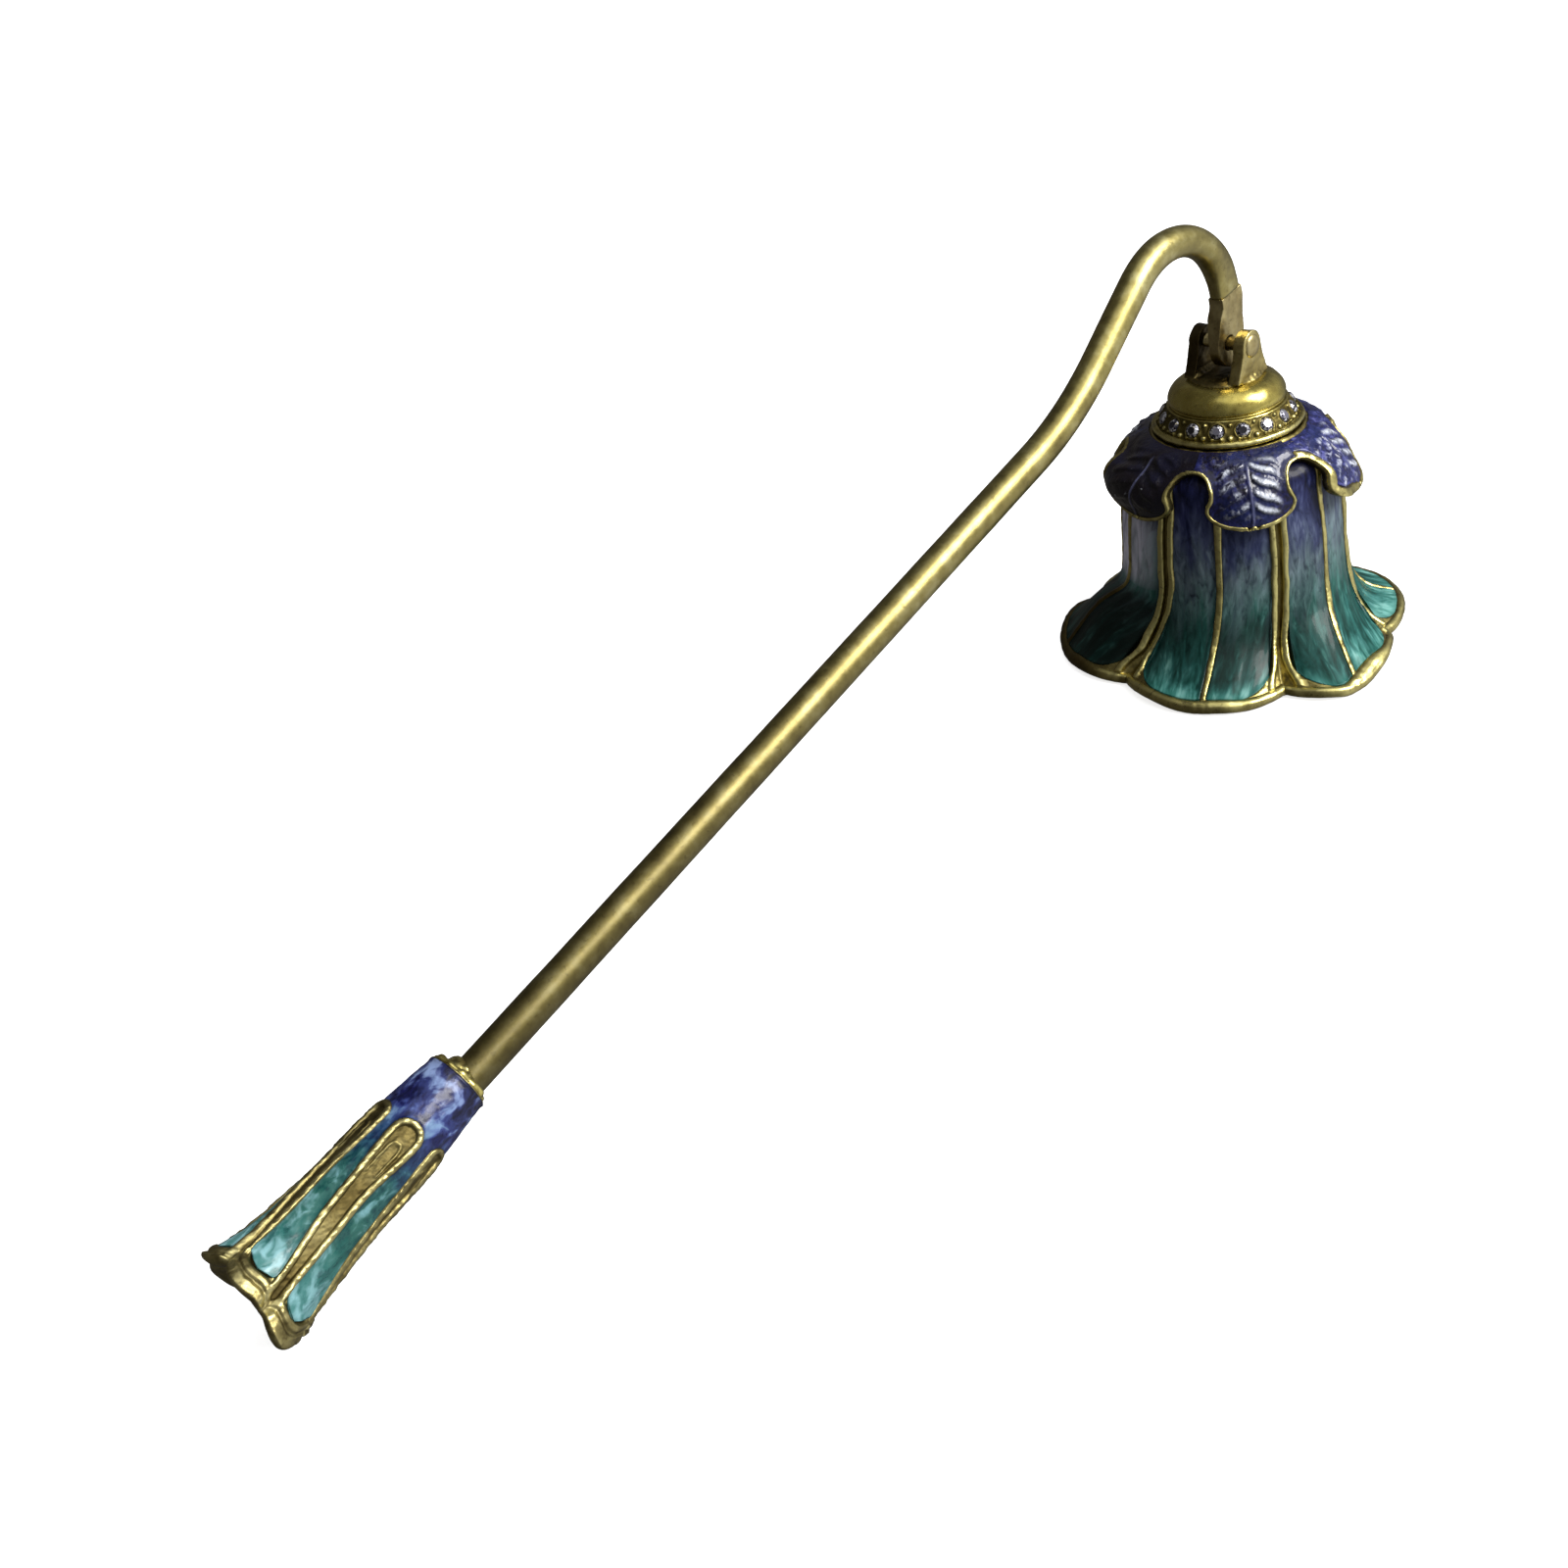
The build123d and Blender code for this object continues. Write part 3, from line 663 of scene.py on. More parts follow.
S_KNOTS = [0.00, 0.06, 0.18, 0.34, 0.50, 0.62, 0.72, 0.82, 0.91, 1.00]
P_MID_R = Cubic(S_KNOTS, [9.7, 12.9, 14.15, 14.62, 14.92, 15.42, 16.85, 19.35, 22.1, 24.38])
P_MID_Z = Cubic(S_KNOTS, [30.3, 28.6, 25.5, 20.5, 15.5, 11.5, 8.6, 5.8, 3.1, 1.02])
P_VAL_R = Cubic(S_KNOTS, [9.7, 12.8, 13.95, 14.42, 14.68, 14.92, 15.42, 16.75, 18.9, 20.9])
P_VAL_Z = Cubic(S_KNOTS, [30.3, 28.6, 25.5, 20.5, 15.5, 11.1, 7.9, 4.9, 2.6, 1.00])
s_fine = np.linspace(0, 1, 801)


def arc_to_lip(fr, fz):
    r, z = fr(s_fine), fz(s_fine)
    l = np.concatenate([[0], np.cumsum(np.hypot(np.diff(r), np.diff(z)))])
    return l


LEN_MID, LEN_VAL = arc_to_lip(P_MID_R, P_MID_Z), arc_to_lip(P_VAL_R, P_VAL_Z)


def petal_angles(k, tau, s):
    w = step_between(s, 0.52, 1.0)
    g0 = GROOVE_BODY[k] * (1 - w) + GROOVE_MOUTH[k] * w
    g1 = GROOVE_BODY[k + 1] * (1 - w) + GROOVE_MOUTH[k + 1] * w
    m = MID_BODY[k] * (1 - w) + MID_MOUTH[k] * w
    th = np.where(tau < 0, m + tau * (m - g0), m + tau * (g1 - m))
    return np.radians(th), np.radians(np.where(tau < 0, th - g0, g1 - th)), np.radians(th - m)


def lip_rise(k, tau, s):
    """Hand-bent lips: parts of some petals stand a little off the table."""
    w = step_between(s, 0.80, 1.0)
    if k == 1:
        return w * (1.30 * bump((tau - 0.62) / 0.62) + 0.25 * bump((tau + 0.5) / 0.4))
    if k == 0:
        return w * (0.55 * bump((tau + 0.62) / 0.5) + 0.15 * bump((tau - 0.2) / 0.3))
    if k == 2:
        return w * 0.5 * bump((tau + 0.25) / 0.55)
    if k == 3:
        return w * 0.6 * bump((tau - 0.3) / 0.6)
    if k == 4:
        return w * 0.8 * bump((tau + 0.2) / 0.5)
    return w * (1.35 * bump((tau + 0.55) / 0.75) + 0.2 * bump((tau - 0.5) / 0.5))


def lip_reach(k, tau, s):
    """How much further out than the others parts of some petals are."""
    w = step_between(s, 0.70, 1.0)
    if k == 1:
        return w * (1.05 * bump((tau + 0.30) / 0.75) - 0.2 * bump((tau - 0.7) / 0.3))
    if k == 2:
        return w * -1.6 * bump((tau + 0.35) / 1.35)
    if k == 0:
        return w * 0.25 * bump((tau - 0.2) / 0.8)
    return 0.0 * w


def bell_base(k, tau, s):
    """Enamel-level surface of petal k: tau is -1..1 across it, s 0..1 down to the lip."""
    tau, s = np.broadcast_arrays(np.asarray(tau, float), np.asarray(s, float))
    th, _, _ = petal_angles(k, tau, s)
    b = 1 - np.abs(tau) ** 2.2
    r = P_MID_R(s) * b + P_VAL_R(s) * (1 - b)
    z = P_MID_Z(s) * b + P_VAL_Z(s) * (1 - b)
    fl = bump((s - 0.80) / 0.20) * b
    z = z + fl * 1.2 * FLARE_UP[k]
    r = r + fl * 0.35 * FLARE_UP[k] + lip_reach(k, tau, s)
    z = z + lip_rise(k, tau, s)
    # shallow pillow of each panel on the upright body
    panel = bump((np.abs(tau) - 0.5) / 0.5) * (1 - step_between(s, 0.55, 0.75)) * step_between(s, 0.02, 0.15)
    r = r + 0.16 * panel
    return at_bell(r, th, z)


def bell_normal(k, tau, s):
    e = 1e-3
    t0, t1 = np.clip(tau - e, -1, 1), np.clip(tau + e, -1, 1)
    s0, s1 = np.clip(s - e, 0, 1), np.clip(s + e, 0, 1)
    du = bell_base(k, t1, s) - bell_base(k, t0, s)
    dv = bell_base(k, tau, s1) - bell_base(k, tau, s0)
    n = unit(np.cross(dv, du))
    # keep it pointing away from the axis
    p = bell_base(k, tau, s)
    out = np.stack([p[..., 0] - BX, p[..., 1], np.full(p.shape[:-1], 0.5)], -1)
    return np.where((n * out).sum(-1, keepdims=True) < 0, -n, n)


def bell_local(k, tau, s):
    """Distances in mm: to the groove, to the middle rib, to the lip."""
    tau, s = np.broadcast_arrays(np.asarray(tau, float), np.asarray(s, float))
    _, dg, dm = petal_angles(k, tau, s)
    b = 1 - np.abs(tau) ** 2.2
    r = P_MID_R(s) * b + P_VAL_R(s) * (1 - b)
    lm = LEN_MID[-1] - np.interp(s, s_fine, LEN_MID)
    lv = LEN_VAL[-1] - np.interp(s, s_fine, LEN_VAL)
    return r * np.abs(dg), r * dm, lm * b + lv * (1 - b)


W_SIDE, CORNER = 1.28, 2.9


def lip_width(k, tau):
    w = 1.62 + 0.12 * np.sin(3.1 * tau + 1.3 * k) + 0.08 * np.sin(7.3 * tau + k)
    if k == 1:
        w = w + 1.15 * bump((tau - 0.20) / 0.48)
    if k == 0:
        w = w + 0.35 * bump((tau + 0.1) / 0.6)
    return w


TUBE = 0.80          # radius of the rolled rim


def side_width(k, lip):
    """Half-width in mm of a double rib: the two ribs part just above the lip."""
    wob = 1 + 0.06 * np.sin(0.55 * lip + 2.1 * k) + 0.04 * np.sin(1.3 * lip + k)
    return W_SIDE * wob + 0.95 * step_between(lip, 5.5, 0.6)


def border(k, tau, s):
    """Below 1 is the brass border of the petal, above 1 its enamel."""
    side, mid, lip = bell_local(k, tau, s)
    u, v = side / side_width(k, lip), (lip + TUBE) / lip_width(k, tau)
    both = (u < CORNER) & (v < CORNER)
    return np.where(both, CORNER - np.hypot(CORNER - np.minimum(u, CORNER), CORNER - np.minimum(v, CORNER)),
                    np.minimum(u, v)), u, v, mid


MID_HALF = 0.52


def bell_height(k, tau, s, pts):
    """Relief of the brass over the enamel-level surface, and how hollow or worn it is."""
    d, u, v, mid = border(k, tau, s)
    floor = -0.46
    wall = step_between(d, 1.08, 0.90)
    _, _, lip = bell_local(k, tau, s)
    side, _, _ = bell_local(k, tau, s)
    rib_at = side_width(k, lip) - 0.46
    side_rib = 0.10 + 0.40 * dome((side - rib_at) / 0.54)
    low = step_between(lip, 5.0, 1.5)
    groove = step_between(u, 0.36, 0.14) * (1 - low)
    side_rib = side_rib - 0.22 * low * step_between(side, rib_at - 0.2, rib_at - 0.9)
    x = (lip + TUBE) / lip_width(k, tau) * 2 * TUBE - TUBE
    lip_bead = -0.32 + np.sqrt(np.maximum(TUBE ** 2 - x ** 2, 0.0)) * step_between(lip, 9.0, 0.0)
    bead_on = step_between(x, TUBE, TUBE * 0.72)
    rib = np.where(bead_on > 0, np.maximum(side_rib * (1 - bead_on) + lip_bead * bead_on, np.minimum(side_rib, lip_bead)), side_rib)
    lip_part = bead_on
    groove_depth = 0.20
    brass_h = rib - groove * (rib + groove_depth)
    h = floor * (1 - wall) + brass_h * wall
    mr = MID_HALF * (1 + 0.12 * np.sin(9 * s + k)) * (1 - 0.28 * step_between(s, 0.6, 0.95))
    mid_on = step_between(d, 0.60, 0.90) * step_between(v, 0.80, 1.02)
    midrib = step_between(np.abs(mid) / mr, 1.15, 0.85) * mid_on
    top = 0.10 + 0.20 * dome(mid / mr)
    h = h * (1 - midrib) + np.maximum(h, top) * midrib
    fade = step_between(s, 0.0, 0.08)
    h = h * fade - 0.3 * (1 - fade)
    bead = np.clip(wall + midrib, 0, 1)
    h = h + bead * 0.035 * waves(pts, 0.9, 11) + bead * 0.05 * waves(pts, 3.5, 12)
    cav = np.clip(groove * wall * 0.46 + (1 - bead) * 0.9 + 0.35 * low * step_between(side, rib_at - 0.3, rib_at - 0.9), 0, 1)
    wear = np.clip(bead * (h - 0.06) / 0.36, 0, 1)
    # painted shade: the brass low on the flares of petals 5 and 4, on the shadowed left, is darkened and not worn
    # bright
    if k == 5:
        left_flare_shade = step_between(s, 0.60, 0.76) * step_between(tau, 0.86, 0.45)
        cav = np.maximum(cav, 0.85 * left_flare_shade)
        wear = wear * (1 - left_flare_shade)
    if k == 4:
        left_flare_shade = step_between(s, 0.60, 0.76) * step_between(tau, 0.3, 0.9)
        cav = np.maximum(cav, 0.85 * left_flare_shade)
        wear = wear * (1 - left_flare_shade)
    return h, cav, wear


def across_samples():
    """Columns across a petal: close together at the ribs."""
    body_w = math.radians(29.5) * 15.0
    marks = []
    for lo, hi, n in ((0.0, 0.75, 9), (0.75, 2.0, 14), (2.0, body_w - 0.85, 16), (body_w - 0.85, body_w, 9)):
        marks += list(np.linspace(lo, hi, n, endpoint=False))
    half = np.array(marks) / body_w
    left = -1 + half
    right = np.concatenate([[0.0], -left[::-1][:-1]])
    return np.concatenate([left, right])


TAUS = across_samples()
S_ROWS = np.concatenate([np.linspace(0.0, 0.08, 6, endpoint=False), np.linspace(0.08, 0.62, 64, endpoint=False),
                         np.linspace(0.62, 0.80, 36, endpoint=False), np.linspace(0.80, 1.0, 72)])

cols, cols_n, cols_h, cols_c, cols_w = [], [], [], [], []
for k in range(6):
    T, S = np.meshgrid(TAUS, S_ROWS, indexing="ij")
    base = bell_base(k, T, S)
    h, cav, wear = bell_height(k, T, S, base)
    cols.append(base)
    cols_n.append(bell_normal(k, T, S))
    cols_h.append(h)
    cols_c.append(cav)
    cols_w.append(wear)
base = np.concatenate(cols)
nor = unit(np.concatenate(cols_n))
hh, cc, ww = np.concatenate(cols_h), np.concatenate(cols_c), np.concatenate(cols_w)
outer = base + nor * hh[..., None]
outer[..., 2] = np.maximum(outer[..., 2], 0.30)
NU = base.shape[0]

# rolled lip, flat foot and the hollow inside
end_b, end_n = base[:, -1], nor[:, -1]
end_t = base[:, -1] - base[:, -3]
end_t = unit(end_t - end_n * (end_t * end_n).sum(-1, keepdims=True))
centre = end_b - 0.32 * end_n
tube = TUBE + hh[:, -1] - (TUBE - 0.32)
lowest = centre[:, 2] - TUBE
foot = np.maximum(0.0, lowest + 0.10)
foot = np.where(foot < 0.06, 0.0, foot)
lip_pts, lip_wear = [], []
for t in np.linspace(0, 1, 19)[1:]:
    a = math.radians(205 * t)
    q = centre + (math.cos(a) * end_n + math.sin(a) * end_t) * (TUBE * t + tube * (1 - t))[:, None]
    q = q + (0.05 * waves(q, 3.0, 13) + 0.02 * waves(q, 1.0, 14))[:, None] * math.sin(math.pi * t) * end_n
    q[:, 2] = np.maximum(q[:, 2], foot)
    lip_pts.append(q)
    lip_wear.append(0.65 * (1 - t) ** 0.7 * (1 - cc[:, -1]))
th_last = np.arctan2(base[:, -1, 1], base[:, -1, 0] - BX)
r_foot = np.hypot(lip_pts[-1][:, 0] - BX, lip_pts[-1][:, 1])
z_foot = lip_pts[-1][:, 2]
foot_pts = [at_bell(r_foot - dr, th_last, z_foot + dz) for dr, dz in ((0.25, 0.05), (0.55, 0.20), (0.85, 0.42), (1.1, 0.68))]
inner_rows = np.linspace(0.90, 0.075, 58)
i_idx = np.interp(inner_rows, S_ROWS, np.arange(len(S_ROWS)))


def sample_rows(grid, idx):
    lo = np.floor(idx).astype(int)
    hi = np.minimum(lo + 1, grid.shape[1] - 1)
    f = (idx - lo)[None, :, None]
    return grid[:, lo] * (1 - f) + grid[:, hi] * f


inner_base = sample_rows(base, i_idx)
inner_nor = unit(sample_rows(nor, i_idx))
inner = inner_base - inner_nor * 1.42
inner = inner + inner_nor * (0.06 * waves(inner, 2.6, 21) + 0.03 * waves(inner, 0.8, 22))[..., None]
inner[..., 2] = np.maximum(inner[..., 2], 0.30)
crown = [at_bell(np.full(NU, r), th_last, np.full(NU, z)) for r, z in
         ((11.6, 28.6), (10.6, 29.15), (9.0, 29.4), (6.5, 29.42), (4.0, 29.40), (2.2, 29.40), (1.62, 29.45), (1.60, 29.8), (1.60, 30.55),
          (2.2, 30.60), (5.0, 30.60), (8.4, 30.60))]
crown = [c + np.array([0, 0, 1.0]) * (0.03 * waves(c, 2.0, 23))[..., None] * (2.5 < float(np.hypot(c[0, 0] - BX, c[0, 1])) < 8.9)
         for c in crown]
loop = np.concatenate([outer, np.stack(lip_pts, 1), np.stack(foot_pts, 1), inner, np.stack(crown, 1)], 1)
n_out = len(S_ROWS)
cav = np.concatenate([cc, np.repeat(cc[:, -1:], len(lip_pts), 1), np.full((NU, 4), 0.3), np.full((NU, inner.shape[1]), 0.45),
                      np.full((NU, len(crown)), 0.45)], 1)
wear = np.concatenate([ww, np.stack(lip_wear, 1), np.zeros((NU, 4)), np.zeros((NU, inner.shape[1])), np.zeros((NU, len(crown)))], 1)
# the lip's outer roll keeps the wear of the border
wear[:, n_out - 1] = np.maximum(wear[:, n_out - 1], 0.4 * (1 - cc[:, -1]))
NV = loop.shape[1]
f = grid_faces(NU, NV, True, True)
row = np.arange(len(f)) % NV
make("bell_shell_cast", loop.reshape(-1, 3), [f], "bell", ["bell_shell"], [m_cast, m_inside],
     {"cav": cav.ravel(), "wear": wear.ravel()}, face_mat=(row >= n_out + len(lip_pts) + 2).astype(int))

# ---------------------------------------------------------------- petal enamel
# dark band on each petal's flare, for its left and right half: partly the enamel's own colour, partly painted shade,
# most on the petals turned from the light
FLARE_DARK_AND_SHADE = [(0.38, 0.58), (0.12, 0.0), (0.10, 0.2), (0.35, 0.2), (0.4, 0.7), (1.0, 1.0)]
# lightness of each petal's left and right half: partly the enamel's own tone, partly painted light, lighter on the
# petals turned to the light
PETAL_TINT_AND_LIGHT = [(0.30, 0.28), (0.20, 0.62), (0.80, 0.60), (0.50, 0.45), (0.35, 0.30), (0.10, 0.15)]
for k in range(6):
    verts_o, verts_i, faces_all, a_flow, a_down, a_rim, a_tint_and_light, a_shade, off = [], [], [], [], [], [], [], [], 0
    for sgn in (-1, 1):
        nt, nv = 34, 110
        t = np.linspace(0, 1, nt)
        sc = np.linspace(0.03, 1.0, 700)
        # column directions: from beside the side rib to beside the middle rib
        tau_c = np.zeros((nt, len(sc)))
        w = step_between(sc, 0.52, 1.0)
        g = GROOVE_BODY[k + (sgn > 0)] * (1 - w) + GROOVE_MOUTH[k + (sgn > 0)] * w
        m = MID_BODY[k] * (1 - w) + MID_MOUTH[k] * w
        span = np.radians(np.abs(g - m))
        t_side = np.full(len(sc), 0.9)
        for _ in range(12):
            b_c = 1 - t_side ** 2.2
            r_c = P_MID_R(sc) * b_c + P_VAL_R(sc) * (1 - b_c)
            lip_c = (LEN_MID[-1] - np.interp(sc, s_fine, LEN_MID)) * b_c + (LEN_VAL[-1] - np.interp(sc, s_fine, LEN_VAL)) * (1 - b_c)
            t_side = 0.5 * t_side + 0.5 * np.clip(1 - 0.92 * side_width(k, lip_c) / (r_c * span), 0.2, 0.99)
        t_mid = (MID_HALF * 0.80) / (P_MID_R(sc) * span)
        tau_c = sgn * (t_side[None, :] * (1 - t[:, None]) + t_mid[None, :] * t[:, None])
        d, _, _, _ = border(k, tau_c, sc[None, :] + 0 * tau_c)
        s_end = np.zeros(nt)
        for i in range(nt):
            ok = np.where(d[i] > 0.94)[0]
            bad = np.where((d[i] < 0.94) & (sc > 0.75))[0]
            s_end[i] = sc[bad[0]] if len(bad) else 0.97
        s_end = np.maximum.accumulate(s_end) if False else s_end
        v = np.linspace(0, 1, nv)
        v = v ** 0.9
        S = 0.035 + (s_end[:, None] - 0.035) * v[None, :]
        TA = np.stack([np.interp(S[i], sc, tau_c[i]) for i in range(nt)])
        p = bell_base(k, TA, S)
        nn = bell_normal(k, TA, S)
        d2, u2, v2, mid2 = border(k, TA, S)
        side, _, lip = bell_local(k, TA, S)
        edge = np.minimum(np.minimum(d2 - 0.95, 0.6 + 0 * d2) * W_SIDE, np.abs(mid2) - MID_HALF)
        men = 0.13 * np.exp(-np.maximum(edge, 0) / 0.22)
        dish = -0.05 * bump((t[:, None] - 0.5) / 0.5)
        flow = np.stack([mid2 * sgn, lip, np.full(S.shape, 10.0 * k + 3.0 * sgn)], -1)
        q = np.stack([mid2 * 1.6, lip * 0.22, np.full(S.shape, 7.0 * k + sgn)], -1)
        rip = 0.035 * waves(q, 2.4, 31) + 0.012 * waves(q * 1.6, 1.4, 32)
        o = p + nn * (0.01 + men + dish + rip)[..., None]
        i_ = p - nn * 0.42
        verts_o.append(o.reshape(-1, 3))
        verts_i.append(i_.reshape(-1, 3))
        faces_all.append(grid_faces(nt, nv) + off)
        off += nt * nv
        a_flow.append(flow.reshape(-1, 3))
        a_down.append(((S - 0.06) / 0.94).ravel())
        a_rim.append(np.exp(-np.maximum(edge, 0) / 0.30).ravel())
        tnt = np.full(S.shape, PETAL_TINT_AND_LIGHT[k][int(sgn > 0)]) + 0.18 * waves(q, 5.0, 33)
        # left petal, right half: lighter high on the body for a painted sheen, darker at the flare for painted shade
        if k == 5 and sgn > 0:
            tnt = 1.15 * step_between(S, 0.75, 0.5) - 0.3 * step_between(S, 0.6, 0.85)
        a_tint_and_light.append(tnt.ravel())
        # left petal: painted shade on its flare, and values below 0 on its upper body for a painted pale sheen
        if k == 5:
            shd = step_between(S, 0.58, 0.72) - 1.0 * step_between(S, 0.12, 0.25) * step_between(S, 0.66, 0.52) * (step_between(TA, 0.95, 0.2) * 0.75 if sgn > 0 else 1.0)
        else:
            shd = FLARE_DARK_AND_SHADE[k][int(sgn > 0)] * step_between(S, 0.62, 0.74) * step_between(S, 0.97, 0.88)
        shd = np.clip(shd * (1 + 0.35 * waves(q, 2.6, 34)), -1, 1)
        a_shade.append(shd.ravel())
    V, F = two_sided(np.concatenate(verts_o), np.concatenate(verts_i), np.concatenate(faces_all))
    fl, dn, rm, ti = np.concatenate(a_flow), np.concatenate(a_down), np.concatenate(a_rim), np.concatenate(a_tint_and_light)
    sh = np.concatenate(a_shade)
    make("petal_enamel_skin_%d" % (k + 1), V, [F], "bell", [NODE_OF[k]], m_petal,
         {"flow": np.concatenate([fl, fl]), "down": np.concatenate([dn, dn]), "rim": np.concatenate([rm, rm]),
          "tint_and_light": np.concatenate([ti, ti]), "shade": np.concatenate([sh, sh])})

# ================================================================ leaf collar
LEAF_MID = [-196.5, -136.5, -76.5, -16.5, 43.5, 103.5]
C_R = Cubic([0, 2.0, 4.0, 6.4, 8.8, 11.2, 12.4], [9.9, 11.75, 13.25, 14.75, 15.5, 15.85, 16.05])
C_Z = Cubic([0, 2.0, 4.0, 6.4, 8.8, 11.2, 12.4], [31.3, 30.85, 29.7, 27.75, 25.4, 23.0, 21.8])
L_ARCH, ARCH_R, L_TIP = 4.25, 2.45, 11.75
PITCH_HALF = math.radians(30)
CURL = {0: -0.8, 1: -0.1, 2: 1.1, 3: 0.4, 4: -0.2, 5: 0.2}


def leaf_half(l, shrink):
    """Half-width in mm of a leaf at arc length l down the collar, its outline moved in by shrink."""
    la, ra = L_ARCH - shrink, ARCH_R + shrink
    full = PITCH_HALF * C_R(l)
    x = l - (la + ra)
    arch = np.where(l < la, 0.0, np.where(x < 0, np.sqrt(np.maximum(0, ra * ra - x * x)), ra))
    w = full - arch
    w = w + np.where(l > la, (-0.22 * bump((l - 7.2) / 1.3) + 0.38 * step_between(l, 7.3, 9.4)), 0.0)
    tip = L_TIP - shrink
    cap = 3.1
    y = np.clip((l - (tip - cap)) / cap, 0, 1)
    return w * np.sqrt(np.maximum(0, 1 - y ** 2.3))


LEAN = {0: -2.5, 1: 0.5, 2: 2.5, 3: 1.0, 4: -1.0, 5: 2.0}        # degrees the free end leans sideways
BULGE = {0: 0.95, 1: 0.15, 2: 0.35, 3: 0.2, 4: 0.3, 5: 0.25}
EDGE_W = {0: (1.0, 1.0), 1: (1.0, 1.0), 2: (2.3, 1.0), 3: (1.3, 1.0), 4: (1.0, 1.4), 5: (1.0, 1.0)}


def edge_width(k, x):
    """Width factor of the gold edge: some leaves are rolled over on one side."""
    lo, hi = EDGE_W[k]
    w = step_between(x, -1.2, 1.2)
    return lo * (1 - w) + hi * w


def warp(k, ang):
    """The gap between the two leaves at the back left sits further round than the others."""
    q = ang / PITCH_HALF
    if k == 0:
        return -math.radians(10) * smooth(-q)
    if k == 5:
        return -math.radians(10) * smooth(q)
    return 0.0 * q


def collar_surface(k, ang, l, half):
    """Point and outward normal on leaf k; ang is radians from its middle."""
    r, z = C_R(l), C_Z(l)
    e = 1e-3
    dr, dz = C_R(l + e) - C_R(l - e), C_Z(l + e) - C_Z(l - e)
    n = math.hypot(1, 0) * np.hypot(dr, dz)
    nr, nz = -dz / n, dr / n
    low = step_between(l, 4.5, 10.0)
    x = np.abs(ang) * r / 6.0
    off = -0.45 * np.clip(x, 0, 1.2) ** 2 * low + 0.30 * low
    off = off + CURL[k] * step_between(l, 7.0, 11.9) ** 1.5 + BULGE[k] * bump((l - 8.2) / 4.0) * (1 - 0.6 * np.clip(x, 0, 1.2) ** 2)
    if k == 2:
        off = off + 0.8 * step_between(ang * r, -1.5, -4.6) * step_between(l, 4.6, 8.0)
    if k == 0:
        off = off + 1.15 * step_between(ang * r, 1.0, -5.0) * step_between(l, 3.9, 7.2) * step_between(l, 13.0, 9.5)
    th = math.radians(LEAF_MID[k]) + ang + warp(k, ang) + math.radians(LEAN[k]) * step_between(l, 4.5, 10.5)
    p = at_bell(r + off * nr, th, z + off * nz)
    nn = np.stack([nr * np.cos(th), nr * np.sin(th), nz], -1)
    return p, unit(nn)


def leaf_sheet(shrink, l0, nl_top, nl_low, nt):
    """Rows and columns of one leaf: the joined ring above, the free leaf below."""
    la = L_ARCH - shrink
    tip = L_TIP - shrink
    top = np.linspace(l0, la, nl_top, endpoint=False)
    y = np.linspace(0, 1, nl_low)
    low = la + (tip - la) * (1 - np.cos(math.pi * y)) / 2
    low = 0.45 * low + 0.55 * (la + (tip - la) * y)
    low[0], low[-1] = la, tip
    extra = la + np.array([0.01, 0.04, 0.1, 0.2, 0.34])
    low = np.unique(np.concatenate([low, extra, tip - np.array([0.01, 0.05, 0.13])]))
    l = np.concatenate([top, low])
    half = leaf_half(l, shrink)
    ang = half / C_R(l)
    ang = np.where(l <= la + 1e-9, PITCH_HALF, ang)
    t = np.linspace(-1, 1, nt)
    return l, ang, t


def vein_field(x, l, k):
    """Raised middle vein, and side veins like shingles that run out and down from it."""
    mid = bump(x / 0.40) * step_between(l, 2.2, 4.0)
    phase = (l - 0.52 * np.abs(x) + 0.10 * np.sin(2.3 * x + k) - (0.35 if k % 2 else 0.0) * (x > 0)) / 1.75
    t = phase - np.floor(phase)
    face = np.where(t < 0.72, smooth(t / 0.72) ** 1.3, 1 - smooth((t - 0.72) / 0.28))
    on = step_between(np.abs(x), 0.15, 0.7) * step_between(l, 2.0, 3.6) * step_between(l, 10.6, 9.4)
    on = on * step_between(np.abs(x), 4.3, 2.9)
    # the lit face of each shingle, where a painted highlight goes
    lit_glint = bump((t - 0.60) / 0.36) ** 0.8 * on
    return mid, face * on, lit_glint


cv_o, cv_i, ck, cf, ca, cw, off = [], [], [], [], [], [], 0
ev_o, ev_i, ek, ef, eflow, evein, emid, erim, eglint, e_tint_and_light, eoff = [], [], [], [], [], [], [], [], [], [], 0
